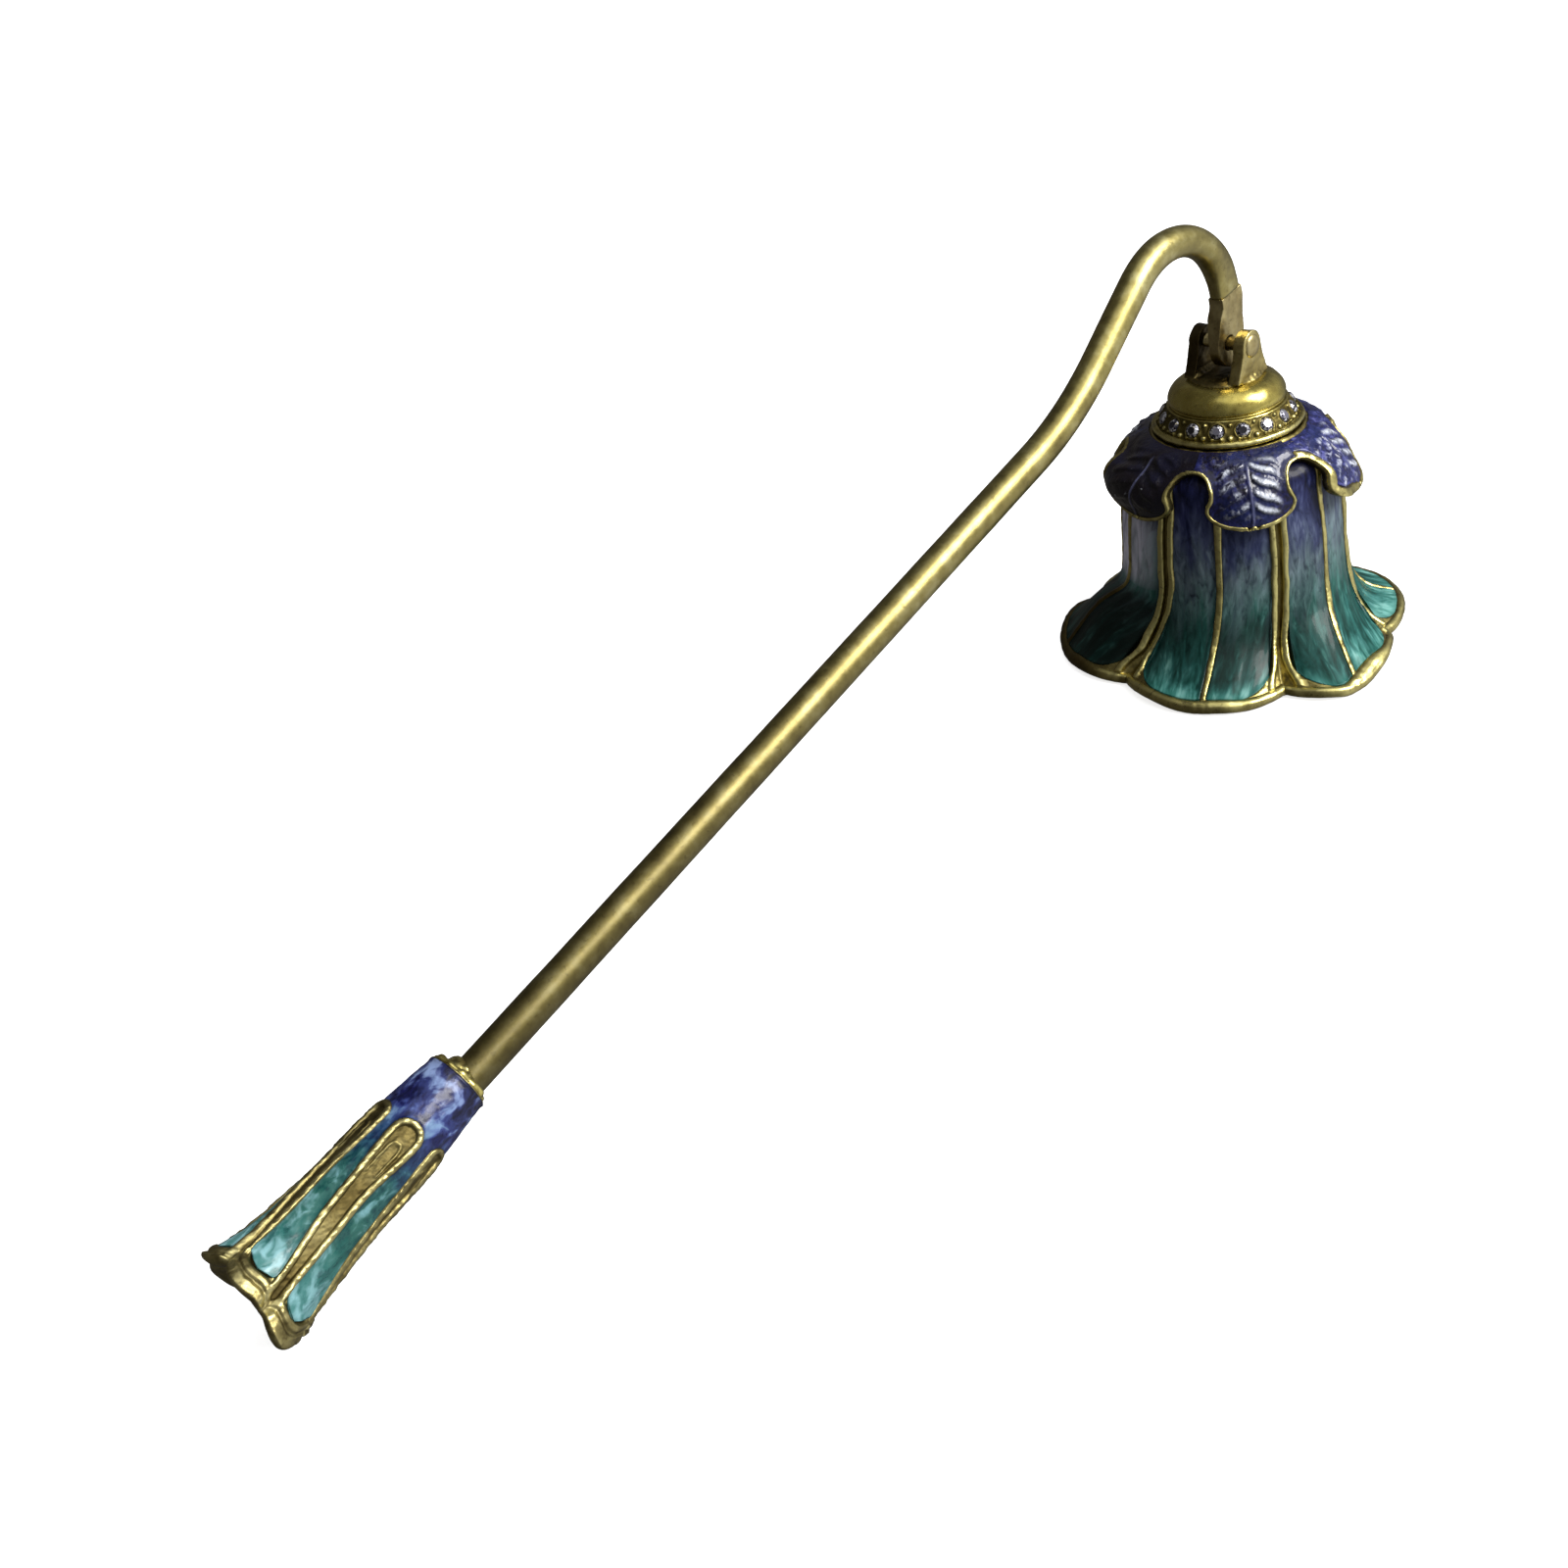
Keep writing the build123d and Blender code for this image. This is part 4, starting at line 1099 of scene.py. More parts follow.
# mostly painted light and shade per leaf: the left leaf darkest, the right one lightest
LEAF_LIGHT_AND_SHADE = [-0.75, 0.30, 0.80, 0.5, 0.3, -0.2]
for k in range(6):
    l, ang, t = leaf_sheet(0.0, 0.0, 16, 66, 61)
    L, T = np.meshgrid(l, t, indexing="ij")
    A = ang[:, None] * T
    P, N = collar_surface(k, A, L, None)
    x_mm = A * C_R(L)
    # distance in from the free edge, measured on a flat layout of the leaf
    ll = np.linspace(L_ARCH, L_TIP, 160)
    hw = leaf_half(ll, 0.0)
    edge_pts = np.concatenate([np.stack([hw, ll], -1), np.stack([-hw, ll], -1)])
    flat = np.stack([x_mm, L], -1).reshape(-1, 2)
    dist = np.sqrt(((flat[:, None, :] - edge_pts[None, :, :]) ** 2).sum(-1).min(1)).reshape(L.shape)
    ew = edge_width(k, x_mm)
    rim_h = 0.10 + 0.20 * dome((dist / ew - 0.28) / 0.32)
    wall = step_between(dist / ew, 0.62, 0.46)
    hub = step_between(L, 0.75, 0.45)
    wall = np.maximum(wall, hub)
    h = -0.40 * (1 - wall) + rim_h * wall * (1 - hub) + 0.02 * hub
    h = h + wall * 0.05 * waves(P, 1.1, 41) + wall * 0.05 * waves(P, 4.0, 42)
    outp = P + N * h[..., None]
    lift = np.array([0, 0, -1.0])
    inp = P - N * (0.98 + 0.05 * waves(P, 1.6, 43))[..., None]
    rr = np.hypot(inp[..., 0] - BX, inp[..., 1])
    inp[..., 2] = np.where(L < 1.2, 30.62, np.minimum(inp[..., 2], 30.62))
    cv_o.append(outp.reshape(-1, 3))
    cv_i.append(inp.reshape(-1, 3))
    th = np.degrees(math.radians(LEAF_MID[k]) + A) % 360.0
    ck.append(np.stack([np.round(th, 4) % 360.0, L], -1).reshape(-1, 2))
    cf.append(grid_faces(len(l), len(t)) + off)
    off += L.size
    ca.append(((1 - wall) * 0.9).ravel())
    cw.append((wall * np.clip((h - 0.05) / 0.3, 0, 1)).ravel())
    # enamel of the leaf
    l, ang, t = leaf_sheet(0.40, 0.60, 18, 84, 91)
    L, T = np.meshgrid(l, t, indexing="ij")
    A = ang[:, None] * T
    P, N = collar_surface(k, A, L, None)
    x_mm = A * C_R(L)
    ll = np.linspace(L_ARCH - 0.40, L_TIP - 0.40, 160)
    hw = leaf_half(ll, 0.40)
    edge_pts = np.concatenate([np.stack([hw, ll], -1), np.stack([-hw, ll], -1)])
    flat = np.stack([x_mm, L], -1).reshape(-1, 2)
    dist = np.sqrt(((flat[:, None, :] - edge_pts[None, :, :]) ** 2).sum(-1).min(1)).reshape(L.shape)
    dist = np.minimum(dist, np.maximum(L - 0.60, 0))
    ew = edge_width(k, x_mm)
    sunk = step_between(dist + 0.40, 0.50 * ew + 0.10, 0.50 * ew - 0.05) * step_between(ew, 1.05, 1.2)
    mid, side, lit_glint = vein_field(x_mm, L, k)
    inner_w = step_between(dist, 0.25, 1.1)
    body_lump = 0.10 * waves(np.stack([x_mm, L, np.full(L.shape, 9.0 * k)], -1), 3.2, 51)
    q = np.stack([x_mm, L, np.full(L.shape, 9.0 * k)], -1)
    rough = 0.035 * waves(q, 0.9, 52) + 0.02 * waves(q, 0.45, 53)
    h = 0.02 + 0.11 * np.exp(-dist / 0.2) + inner_w * (0.25 * side + 0.16 * mid - 0.05 + body_lump + rough) - 0.34 * sunk
    outp = P + N * h[..., None]
    inp = P - N * 0.37
    ev_o.append(outp.reshape(-1, 3))
    ev_i.append(inp.reshape(-1, 3))
    th = np.degrees(math.radians(LEAF_MID[k]) + A) % 360.0
    ek.append(np.stack([np.round(th, 4) % 360.0, L], -1).reshape(-1, 2))
    ef.append(grid_faces(len(l), len(t)) + eoff)
    eoff += L.size
    eflow.append((P - np.array([BX, 0.0, 20.0])).reshape(-1, 3))
    evein.append((lit_glint * inner_w).ravel())
    emid.append((bump(x_mm / 0.26) * step_between(L, 2.6, 4.4)).ravel())
    e_tint_and_light.append(np.full(L.size, LEAF_LIGHT_AND_SHADE[k]))
    erim.append(np.exp(-dist / 0.35).ravel())
    # strength of the painted vein highlights: weak on the shadowed left leaf, stronger towards each leaf's right side
    eglint.append(((0.55 + 0.45 * step_between(x_mm, -0.8, 1.6)) * {0: 0.16, 1: 1.05, 2: 1.0}.get(k, 0.7)).ravel())

keys = np.concatenate(ck)
first, F = weld(keys, np.concatenate(cf))
VO, VI = np.concatenate(cv_o)[first], np.concatenate(cv_i)[first]
V, F = two_sided(VO, VI, F)
A1, A2 = np.concatenate(ca)[first], np.concatenate(cw)[first]
make("leaf_collar_cast", V, split_faces(F), "bell", ["leaf_collar"], m_cast,
     {"cav": np.concatenate([A1, np.full(len(A1), 0.35)]), "wear": np.concatenate([A2, np.full(len(A2), 0.15)])})
keys = np.concatenate(ek)
first, F = weld(keys, np.concatenate(ef))
V, F = two_sided(np.concatenate(ev_o)[first], np.concatenate(ev_i)[first], F)
att = {}
for key, val in (("vein", evein), ("mid", emid), ("rim", erim), ("glint_strength", eglint), ("tint_and_light", e_tint_and_light), ("flow", eflow)):
    val = np.concatenate(val)[first]
    att[key] = np.concatenate([val, val])
make("leaf_enamel_skin", V, split_faces(F), "bell", ["leaf_enamel"], m_leaf, att)

# ================================================================ stone band
STONES, STONE_0 = 16, -133.1
CONE = math.atan2(2.30, 1.50)
b_r = [6.25, 9.2, 9.62, 9.90, 10.02, 9.95, 9.72, 9.46, 9.38, 9.30, 7.98, 7.72, 7.50, 6.25]
prof = []


def add_arc(cr, cz, r, a0, a1, n):
    for a in np.linspace(math.radians(a0), math.radians(a1), n):
        prof.append((cr + r * math.cos(a), cz + r * math.sin(a)))


prof += [(6.3, 31.40), (7.4, 31.38), (8.4, 31.37)]
prof += [(x, 31.37) for x in (8.9, 9.2)]
add_arc(9.60, 31.84, 0.47, -90, 140, 18)
prof += [(9.22, 32.15)]
cone_lo, cone_hi = (9.20, 32.20), (7.98, 34.30)
for q in np.linspace(0, 1, 34):
    prof.append((cone_lo[0] + (cone_hi[0] - cone_lo[0]) * q, cone_lo[1] + (cone_hi[1] - cone_lo[1]) * q))
add_arc(7.70, 34.30, 0.27, 10, 90, 5)
prof += [(7.3, 34.58), (6.8, 34.56), (6.3, 34.5)]
prof = np.array(prof)
NB = 16 * 26
th = np.linspace(0, TAU, NB, endpoint=False)
TH, J = np.meshgrid(th, np.arange(len(prof)), indexing="ij")
R, Z = prof[J, 0], prof[J, 1]
P = at_bell(R, TH, Z)
dp = np.gradient(prof, axis=0)
nr, nz = dp[:, 1], -dp[:, 0]
ln = np.hypot(nr, nz)
nr, nz = nr / ln, nz / ln
N = np.stack([nr[J] * np.cos(TH), nr[J] * np.sin(TH), nz[J]], -1)
cone_dir = np.array([cone_hi[0] - cone_lo[0], cone_hi[1] - cone_lo[1]])
cone_len = np.linalg.norm(cone_dir)
cone_dir = cone_dir / cone_len
lc = (R - cone_lo[0]) * cone_dir[0] + (Z - cone_lo[1]) * cone_dir[1]
on_cone = (J >= 24) & (J <= 24 + 34)
w_st = (np.degrees(TH) - STONE_0 + 180.0 / STONES) % (360.0 / STONES) - 180.0 / STONES
x_st = np.radians(w_st) * 8.62
y_st = lc - cone_len * 0.53
rho = np.hypot(x_st, y_st)
seat = step_between(rho, 0.98, 0.84)
bezel = bump((rho - 1.06) / 0.20)
xb = np.abs(x_st) - math.radians(180.0 / STONES) * 8.62
beads = np.zeros_like(rho)
for bx, by, br in ((0.0, cone_len * 0.16, 0.34), (0.0, cone_len * 0.86, 0.26)):
    beads = np.maximum(beads, br * dome(np.hypot(xb - bx, lc - by) / br) * 0.9)
beads = np.maximum(beads, 0.20 * dome(np.hypot(np.abs(x_st) - 0.62, lc - cone_len * 0.10) / 0.22))
h = on_cone * (-0.42 * seat + 0.13 * bezel * (1 - seat) + beads * (1 - seat) + 0.05 * waves(P, 0.8, 61) * (1 - seat))
flange = (J >= 5) & (J < 24)
h = h + flange * (0.055 * waves(P, 3.6, 62) + 0.03 * waves(P, 1.2, 63))
P = P + N * h[..., None]
cavb = np.clip(on_cone * (0.95 - 2.4 * beads - 0.45 * bezel) + (J == 23) * 0.8 + (J == 22) * 0.5, 0, 1)
wearb = np.clip(flange * 0.95 * bump((prof[J, 1] - 31.95) / 0.55) + on_cone * beads * 3.0, 0, 1)
make("stone_band_cast", P.reshape(-1, 3), [grid_faces(NB, len(prof), True, True)], "bell", ["stone_band"], m_band,
     {"cav": cavb.ravel(), "wear": wearb.ravel()})


# ---------------------------------------------------------------- rhinestones
def brilliant(r):
    """Cut stone about +Z: table, crown, girdle and pavilion facets."""
    v, f = [], []
    tr, th_, gh, ch = 0.56 * r, 0.36, 0.05, -0.40
    for i in range(8):
        a = TAU * (i + 0.5) / 8
        v.append((tr * math.cos(a), tr * math.sin(a), th_))
    for i in range(8):
        a = TAU * i / 8
        v.append((0.80 * r * math.cos(a), 0.80 * r * math.sin(a), 0.22))
    for i in range(16):
        a = TAU * i / 16
        v.append((r * math.cos(a), r * math.sin(a), gh))
    for i in range(16):
        a = TAU * i / 16
        v.append((r * math.cos(a), r * math.sin(a), -0.03))
    v.append((0, 0, ch))
    f.append(tuple(range(8)))
    for i in range(8):
        j = (i + 1) % 8
        f.append((i, 8 + j, j))                      # star
        g0, g1, g2 = 16 + 2 * i, 16 + (2 * i + 1) % 16, 16 + (2 * i + 2) % 16
        f.append((8 + i, g0, g1))
        f.append((8 + i, g1, i))
        f.append((i, g1, 8 + j))
        f.append((8 + j, g1, g2))
    for i in range(16):
        j = (i + 1) % 16
        f.append((16 + i, 32 + i, 32 + j, 16 + j))
        f.append((32 + i, 48, 32 + j))
    return v, f


g = np.random.default_rng(5)
bm = bmesh.new()
facet_glint = []
cone_nr, cone_nz = math.sin(CONE), math.cos(CONE)
for i in range(STONES):
    a = math.radians(STONE_0 + 360.0 / STONES * i)
    base_r = cone_lo[0] + cone_dir[0] * cone_len * 0.53
    base_z = cone_lo[1] + cone_dir[1] * cone_len * 0.53
    zax = Vector((cone_nr * math.cos(a), cone_nr * math.sin(a), cone_nz)).normalized()
    xax = Vector((-math.sin(a), math.cos(a), 0))
    yax = zax.cross(xax)
    tilt = g.normal(size=2) * 0.06
    spin = g.uniform(0, TAU)
    c = Vector((BX + base_r * math.cos(a), base_r * math.sin(a), base_z)) + zax * 0.02
    zz = (zax + xax * tilt[0] + yax * tilt[1]).normalized()
    xx = (xax - zz * xax.dot(zz)).normalized()
    yy = zz.cross(xx)
    v, fs = brilliant(0.93 + g.uniform(-0.03, 0.02))
    vs = []
    for x, y, z in v:
        x, y = x * math.cos(spin) - y * math.sin(spin), x * math.sin(spin) + y * math.cos(spin)
        vs.append(bm.verts.new((c + xx * x + yy * y + zz * z) * MM))
    for face in fs:
        try:
            bm.faces.new([vs[q] for q in face])
            # painted glint: a random brightness for each facet
            facet_glint.append(g.choice([0.08, 0.3, 0.55, 0.8, 1.0], p=[0.2, 0.15, 0.2, 0.2, 0.25]))
        except ValueError:
            pass
bmesh.ops.recalc_face_normals(bm, faces=bm.faces)
me = bpy.data.meshes.new("rhinestones_cut")
bm.to_mesh(me)
bm.free()
me.attributes.new("tone", "FLOAT", "FACE").data.foreach_set("value", np.array(facet_glint, np.float32))
me.materials.append(m_gem)
me.polygons.foreach_set("use_smooth", np.full(len(me.polygons), False))
stones = bpy.data.objects.new("rhinestones_cut", me)
bpy.context.scene.collection.objects.link(stones)
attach(stones, "bell")
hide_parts("rhinestones")

# ================================================================ dome cap
prof = [(2.7, 37.95), (4.0, 38.0)]
curve = Cubic([0, 1, 2, 3, 4, 5, 6], [4.5, 5.55, 6.45, 7.12, 7.55, 7.76, 7.72])
curz = Cubic([0, 1, 2, 3, 4, 5, 6], [38.0, 37.82, 37.42, 36.86, 36.2, 35.55, 35.05])
prof += [(float(curve(q)), float(curz(q))) for q in np.linspace(0, 6, 30)]
prof += [(7.60, 34.90), (7.46, 34.86), (7.42, 34.80), (7.52, 34.74), (7.62, 34.66), (7.58, 34.60), (7.2, 34.60), (6.3, 34.62), (6.0, 35.6), (5.0, 36.5), (2.7, 36.5)]
prof = np.array(prof)
NB = 192
th = np.linspace(0, TAU, NB, endpoint=False)
TH, J = np.meshgrid(th, np.arange(len(prof)), indexing="ij")
P = at_bell(prof[J, 0], TH, prof[J, 1])
dent = 0.045 * waves(P, 5.0, 71) + 0.015 * waves(P, 1.6, 72)
P[..., 0] += np.cos(TH) * dent
P[..., 1] += np.sin(TH) * dent
P[..., 2] += dent * 0.6 * (J < 32)
lowz = prof[J, 1]
cavc = bump((lowz - 34.83) / 0.12) * 0.8
make("dome_cap_spun", P.reshape(-1, 3), [grid_faces(NB, len(prof), True, True)], "bell", ["dome_cap"], m_polish,
     {"cav": cavc.ravel(), "wear": (0.25 + 0 * cavc).ravel()})

# ================================================================ clevis fork
ear_top = 44.45


def ear_outline(half, z0, z1, flare):
    """Upright ear with a round top and a foot that spreads."""
    pts = []
    for q in np.linspace(0, 1, 9):
        pts.append((BX + half + flare * (1 - q) ** 1.35, z0 + (PIN_Z - z0) * q))
    for a in np.linspace(0, math.pi, 25)[1:-1]:
        pts.append((BX + half * math.cos(a), PIN_Z + (z1 - PIN_Z) * math.sin(a)))
    for q in np.linspace(1, 0, 9):
        pts.append((BX - half - flare * (1 - q) ** 1.35, z0 + (PIN_Z - z0) * q))
    return pts


pin_hole = circle(BX, PIN_Z, 0.91, 28)
fork_parts = [revolve_part([(0, 37.95), (4.86, 37.95), (4.60, 38.10), (3.9, 38.34), (3.0, 38.50), (0, 38.55)], (BX, 0, 0)),
              revolve_part([(0, 31.4), (2.55, 31.4), (2.55, 38.2), (0, 38.2)], (BX, 0, 0)),
              plate(ear_outline(2.05, 38.1, ear_top, 1.45), None, 2.64, 4.28),
              plate(ear_outline(2.05, 38.1, ear_top, 1.45), None, -4.28, -2.64)]
# low fillets where the ears rise from the foot
for sy in (-1, 1):
    for dx in (-2.0, -1.2, -0.4, 0.4, 1.2, 2.0):
        fork_parts.append(revolve_part([(0, 38.0), (1.40, 38.0), (1.25, 38.45), (0.95, 38.75), (0.5, 38.95), (0, 39.0)],
                                       (BX + dx, sy * (3.25 - 0.10 * abs(dx)), 0), n=32))
remeshed("clevis_fork_cast", fork_parts, 0.11, 12, 0.05, 1.3, 81, "bell", ["clevis_fork"], m_fork,
         keep=lambda p: (p[:, 2] > 38.3).astype(float))

# ---------------------------------------------------------------- pivot pin
hy = 4.20
prof = []
for q in np.linspace(0, 1, 10):
    prof.append((1.55 * math.sin(q * math.pi / 2), -hy - 0.58 * math.cos(q * math.pi / 2)))
prof += [(1.50, -hy + 0.02), (0.90, -hy + 0.03), (0.90, 0.0), (0.90, hy - 0.03), (1.50, hy - 0.02)]
for q in np.linspace(1, 0, 10):
    prof.append((1.55 * math.sin(q * math.pi / 2), hy + 0.58 * math.cos(q * math.pi / 2)))
prof = np.array(prof)
NB = 48
th = np.linspace(0, TAU, NB, endpoint=False)
TH, J = np.meshgrid(th, np.arange(len(prof)), indexing="ij")
rr = np.maximum(prof[J, 0], 1e-3) * (1 + 0.02 * np.sin(3 * TH + prof[J, 1]))
P = np.stack([BX + rr * np.cos(TH), prof[J, 1], PIN_Z + rr * np.sin(TH)], -1)
f = grid_faces(NB, len(prof), True, False)
caps = [list(range(0, NB * len(prof), len(prof))), list(range(len(prof) - 1, NB * len(prof), len(prof)))]
make("pivot_pin_rivet", P.reshape(-1, 3), [f, np.array([caps[0]]), np.array([caps[1][::-1]])], "bell", ["pivot_pin"], m_tang)

# ================================================================ rod
ROD_SLOPE, ROD_Z0, ROD_LEN = math.radians(16.52), 54.19, 154.0
BEND_SLOPE, BEND_R = math.radians(38.7), 40.8
HC, HR, HEND = (-11.10, 46.97), 11.84, math.radians(10.3)
h0a = math.radians(90) + BEND_SLOPE
Hp = (HC[0] + HR * math.cos(h0a), HC[1] + HR * math.sin(h0a))
vx = (ROD_Z0 - Hp[1] + math.tan(BEND_SLOPE) * Hp[0]) / (math.tan(BEND_SLOPE) - math.tan(ROD_SLOPE))
vz = ROD_Z0 + math.tan(ROD_SLOPE) * vx
cut = BEND_R * math.tan((BEND_SLOPE - ROD_SLOPE) / 2)
Ap = (vx - cut * math.cos(ROD_SLOPE), vz - cut * math.sin(ROD_SLOPE))
Bp = (vx + cut * math.cos(BEND_SLOPE), vz + cut * math.sin(BEND_SLOPE))
Cp = (Ap[0] - BEND_R * math.sin(ROD_SLOPE), Ap[1] + BEND_R * math.cos(ROD_SLOPE))
Sp = (-ROD_LEN * math.cos(ROD_SLOPE), ROD_Z0 - ROD_LEN * math.sin(ROD_SLOPE))
pts = []
for q in np.linspace(0, 1, 150, endpoint=False):
    pts.append((Sp[0] + (Ap[0] - Sp[0]) * q, Sp[1] + (Ap[1] - Sp[1]) * q))
for a in np.linspace(ROD_SLOPE - math.pi / 2, BEND_SLOPE - math.pi / 2, 26, endpoint=False):
    pts.append((Cp[0] + BEND_R * math.cos(a), Cp[1] + BEND_R * math.sin(a)))
for q in np.linspace(0, 1, 22, endpoint=False):
    pts.append((Bp[0] + (Hp[0] - Bp[0]) * q, Bp[1] + (Hp[1] - Bp[1]) * q))
for a in np.linspace(h0a, HEND, 64):
    pts.append((HC[0] + HR * math.cos(a), HC[1] + HR * math.sin(a)))
pts = np.array(pts)
tan = unit(np.gradient(pts, axis=0))
inpl = np.stack([-tan[:, 1], tan[:, 0]], -1)             # in-plane, to the upper/outer side
dist = np.concatenate([[0], np.cumsum(np.linalg.norm(np.diff(pts, axis=0), axis=1))])
total = dist[-1]
NB = 72
th = np.linspace(0, TAU, NB, endpoint=False)
TH, J = np.meshgrid(th, np.arange(len(pts)), indexing="ij")
to_end = total - dist[J]
flatten = step_between(to_end, 8.5, 0.3)
ru = 2.0 + 0.30 * flatten
ry = 2.0 - 0.82 * flatten
pw = 1 - 0.42 * flatten                                   # towards a rounded rectangle
cu, su = np.cos(TH), np.sin(TH)
eu = np.sign(cu) * np.abs(cu) ** pw * ru
ey = np.sign(su) * np.abs(su) ** pw * ry
P = np.stack([BX + pts[J, 0] + inpl[J, 0] * eu, ey, pts[J, 1] + inpl[J, 1] * eu], -1)
axisp = np.stack([BX + pts[J, 0], 0 * ey, pts[J, 1]], -1)
nrm = unit(P - axisp)
P = P + nrm * (0.012 * waves(P, 7.0, 91) + 0.035 * flatten * waves(P, 2.0, 92))[..., None]
# end faces and bore
rings = [P[:, j] for j in range(P.shape[1])]
endc = axisp[:, -1]
stc = axisp[:, 0]
bore = axisp + (P - axisp) * 0.62
loop = np.concatenate([P, (endc + (P[:, -1] - endc) * 0.93)[:, None], bore[:, ::-1]], 1)
make("rod_tube_drawn", loop.reshape(-1, 3), [grid_faces(NB, loop.shape[1], True, True)], "rod_and_handle", ["rod_tube"],
     m_rod)

# ================================================================ pivot tang
E = np.array([HC[0] + HR * math.cos(HEND), HC[1] + HR * math.sin(HEND)])
er = np.array([math.cos(HEND), math.sin(HEND)])
dn = np.array([math.sin(HEND), -math.cos(HEND)])
top_in, top_out = E - er * 2.22, E + er * 2.22
out_line = []
right = [top_out, E + er * 2.30 + dn * 1.2, (3.02, 46.4), (3.22, 44.8), (3.46, 43.2)]
left = [(-2.42, 43.2), (-2.22, 44.7), (-1.98, 46.3), E - er * 2.30 + dn * 1.2, top_in]
rc = Cubic(range(len(right)), [p[0] for p in right]), Cubic(range(len(right)), [p[1] for p in right])
lc_ = Cubic(range(len(left)), [p[0] for p in left]), Cubic(range(len(left)), [p[1] for p in left])
for q in np.linspace(0, len(right) - 1, 22):
    out_line.append((BX + float(rc[0](q)), float(rc[1](q))))
for a in np.linspace(math.radians(8), math.radians(-188), 44):
    out_line.append((BX + 0.55 + 3.00 * math.cos(a), PIN_Z - 0.10 + 3.20 * math.sin(a)))
for q in np.linspace(0, len(left) - 1, 22):
    out_line.append((BX + float(lc_[0](q)), float(lc_[1](q))))
hole = circle(BX, PIN_Z, 1.04, 32)
tv, tf = plate(out_line, hole, -1.0, 1.0)
# thicker at the neck, thinner at the eye
tv = [(x, y * (0.80 + 0.30 * float(smooth(np.array((z - 42.0) / 5.5)))), z) for x, y, z in tv]
spig = []
for q in np.linspace(0, 1, 8):
    a = HEND + (4.0 / HR) * q
    spig.append((HC[0] + HR * math.cos(a), HC[1] + HR * math.sin(a)))
sv, sf = [], []
for j, (x, z) in enumerate(spig):
    a = HEND + (4.0 / HR) * j / 7
    rx, rz = math.cos(a), math.sin(a)
    for i in range(24):
        b = TAU * i / 24
        sv.append((BX + x + rx * 1.0 * math.cos(b), 0.85 * math.sin(b), z + rz * 1.0 * math.cos(b)))
for j in range(7):
    for i in range(24):
        sf.append((j * 24 + i, j * 24 + (i + 1) % 24, (j + 1) * 24 + (i + 1) % 24, (j + 1) * 24 + i))
sf.append(tuple(range(24)))
sf.append(tuple(reversed(range(7 * 24, 8 * 24))))
remeshed("pivot_tang_forged", [(tv, tf), (sv, sf)], 0.085, 6, 0.045, 1.7, 95, "rod_and_handle", ["pivot_tang"], m_tang)

# ================================================================ handle
HS0, HL, HUP, HTILT, HTURN = 144.0, 27.9, 0.925, math.radians(0.72), math.radians(13.4)
upv = np.array([-math.sin(ROD_SLOPE), 0, math.cos(ROD_SLOPE)])
dnv = np.array([-math.cos(ROD_SLOPE), 0, -math.sin(ROD_SLOPE)])
h_org = np.array([BX - HS0 * math.cos(ROD_SLOPE) + HUP * upv[0], 0, ROD_Z0 - HS0 * math.sin(ROD_SLOPE) + HUP * upv[2]])
h_z = unit(dnv + math.tan(HTILT) * upv)
h_x = unit(upv - h_z * (upv @ h_z))
h_y = np.cross(h_z, h_x)


def at_handle(r, th, s):
    t = th + HTURN
    return (h_org + (r * np.cos(t))[..., None] * h_x + (r * np.sin(t))[..., None] * h_y + np.asarray(s, float)[..., None] * h_z)


H_S = [-0.4, 2.6, 5.6, 9.0, 14.0, 20.0, 24.0, 26.2, 27.6]
HP_R = Cubic(H_S, [3.46, 3.68, 3.96, 4.18, 4.28, 4.74, 5.50, 6.22, 6.66])
HV_R = Cubic(H_S, [3.46, 3.68, 3.98, 4.22, 4.34, 4.66, 5.08, 5.48, 5.78])
LOBE_LONG = [0.2, 0.2, -0.1, -1.3, 1.65, 0.35]              # the hand-made lobes and the notches between them differ
VALLEY_LONG = [-0.9, -0.6, -0.5, -0.7, -0.3, 0.55]
LOBE_OUT = [-0.25, 0.0, -0.1, -1.05, 0.1, -0.35]


def handle_base(k, tau, s):
    """Pocket k: tau -1..1 between the middles of the arches at its sides."""
    tau, s = np.broadcast_arrays(np.asarray(tau, float), np.asarray(s, float))
    th = np.radians(60 * k + 30 + 30 * tau) - math.radians(13) * step_between(s, 13, 27)
    b = (0.5 + 0.5 * np.cos(math.pi * tau)) ** 0.8
    w = b * step_between(s, 12, 26)
    r = HP_R(s) * w + HV_R(s) * (1 - w)
    va, vb = VALLEY_LONG[k], VALLEY_LONG[(k + 1) % 6]
    val = va + (vb - va) * (0.5 + 0.5 * tau)
    z = s + (LOBE_LONG[k] * b + val * (1 - b)) * step_between(s, 12, 27.6)
    r = r + LOBE_OUT[k] * b * step_between(s, 17, 27.6)
    return at_handle(r, th, z), r, th


def handle_normal(k, tau, s):
    e = 1e-3
    du = handle_base(k, tau + e, s)[0] - handle_base(k, tau - e, s)[0]
    dv = handle_base(k, tau, s + e * 5)[0] - handle_base(k, tau, s - e * 5)[0]
    n = unit(np.cross(du, dv))
    p, r, th = handle_base(k, tau, s)
    o = (np.cos(th + HTURN))[..., None] * h_x + (np.sin(th + HTURN))[..., None] * h_y
    return np.where((n * o).sum(-1, keepdims=True) < 0, -n, n)


A_TOP, A_W0 = 5.9, 1.80


ARCH_F = [0.86, 1.0, 0.94, 1.0, 0.74, 1.0]        # the arches aren't all equally wide


def arch_scale(k, tau):
    return np.where(np.asarray(tau) < 0, ARCH_F[k], ARCH_F[(k + 1) % 6])


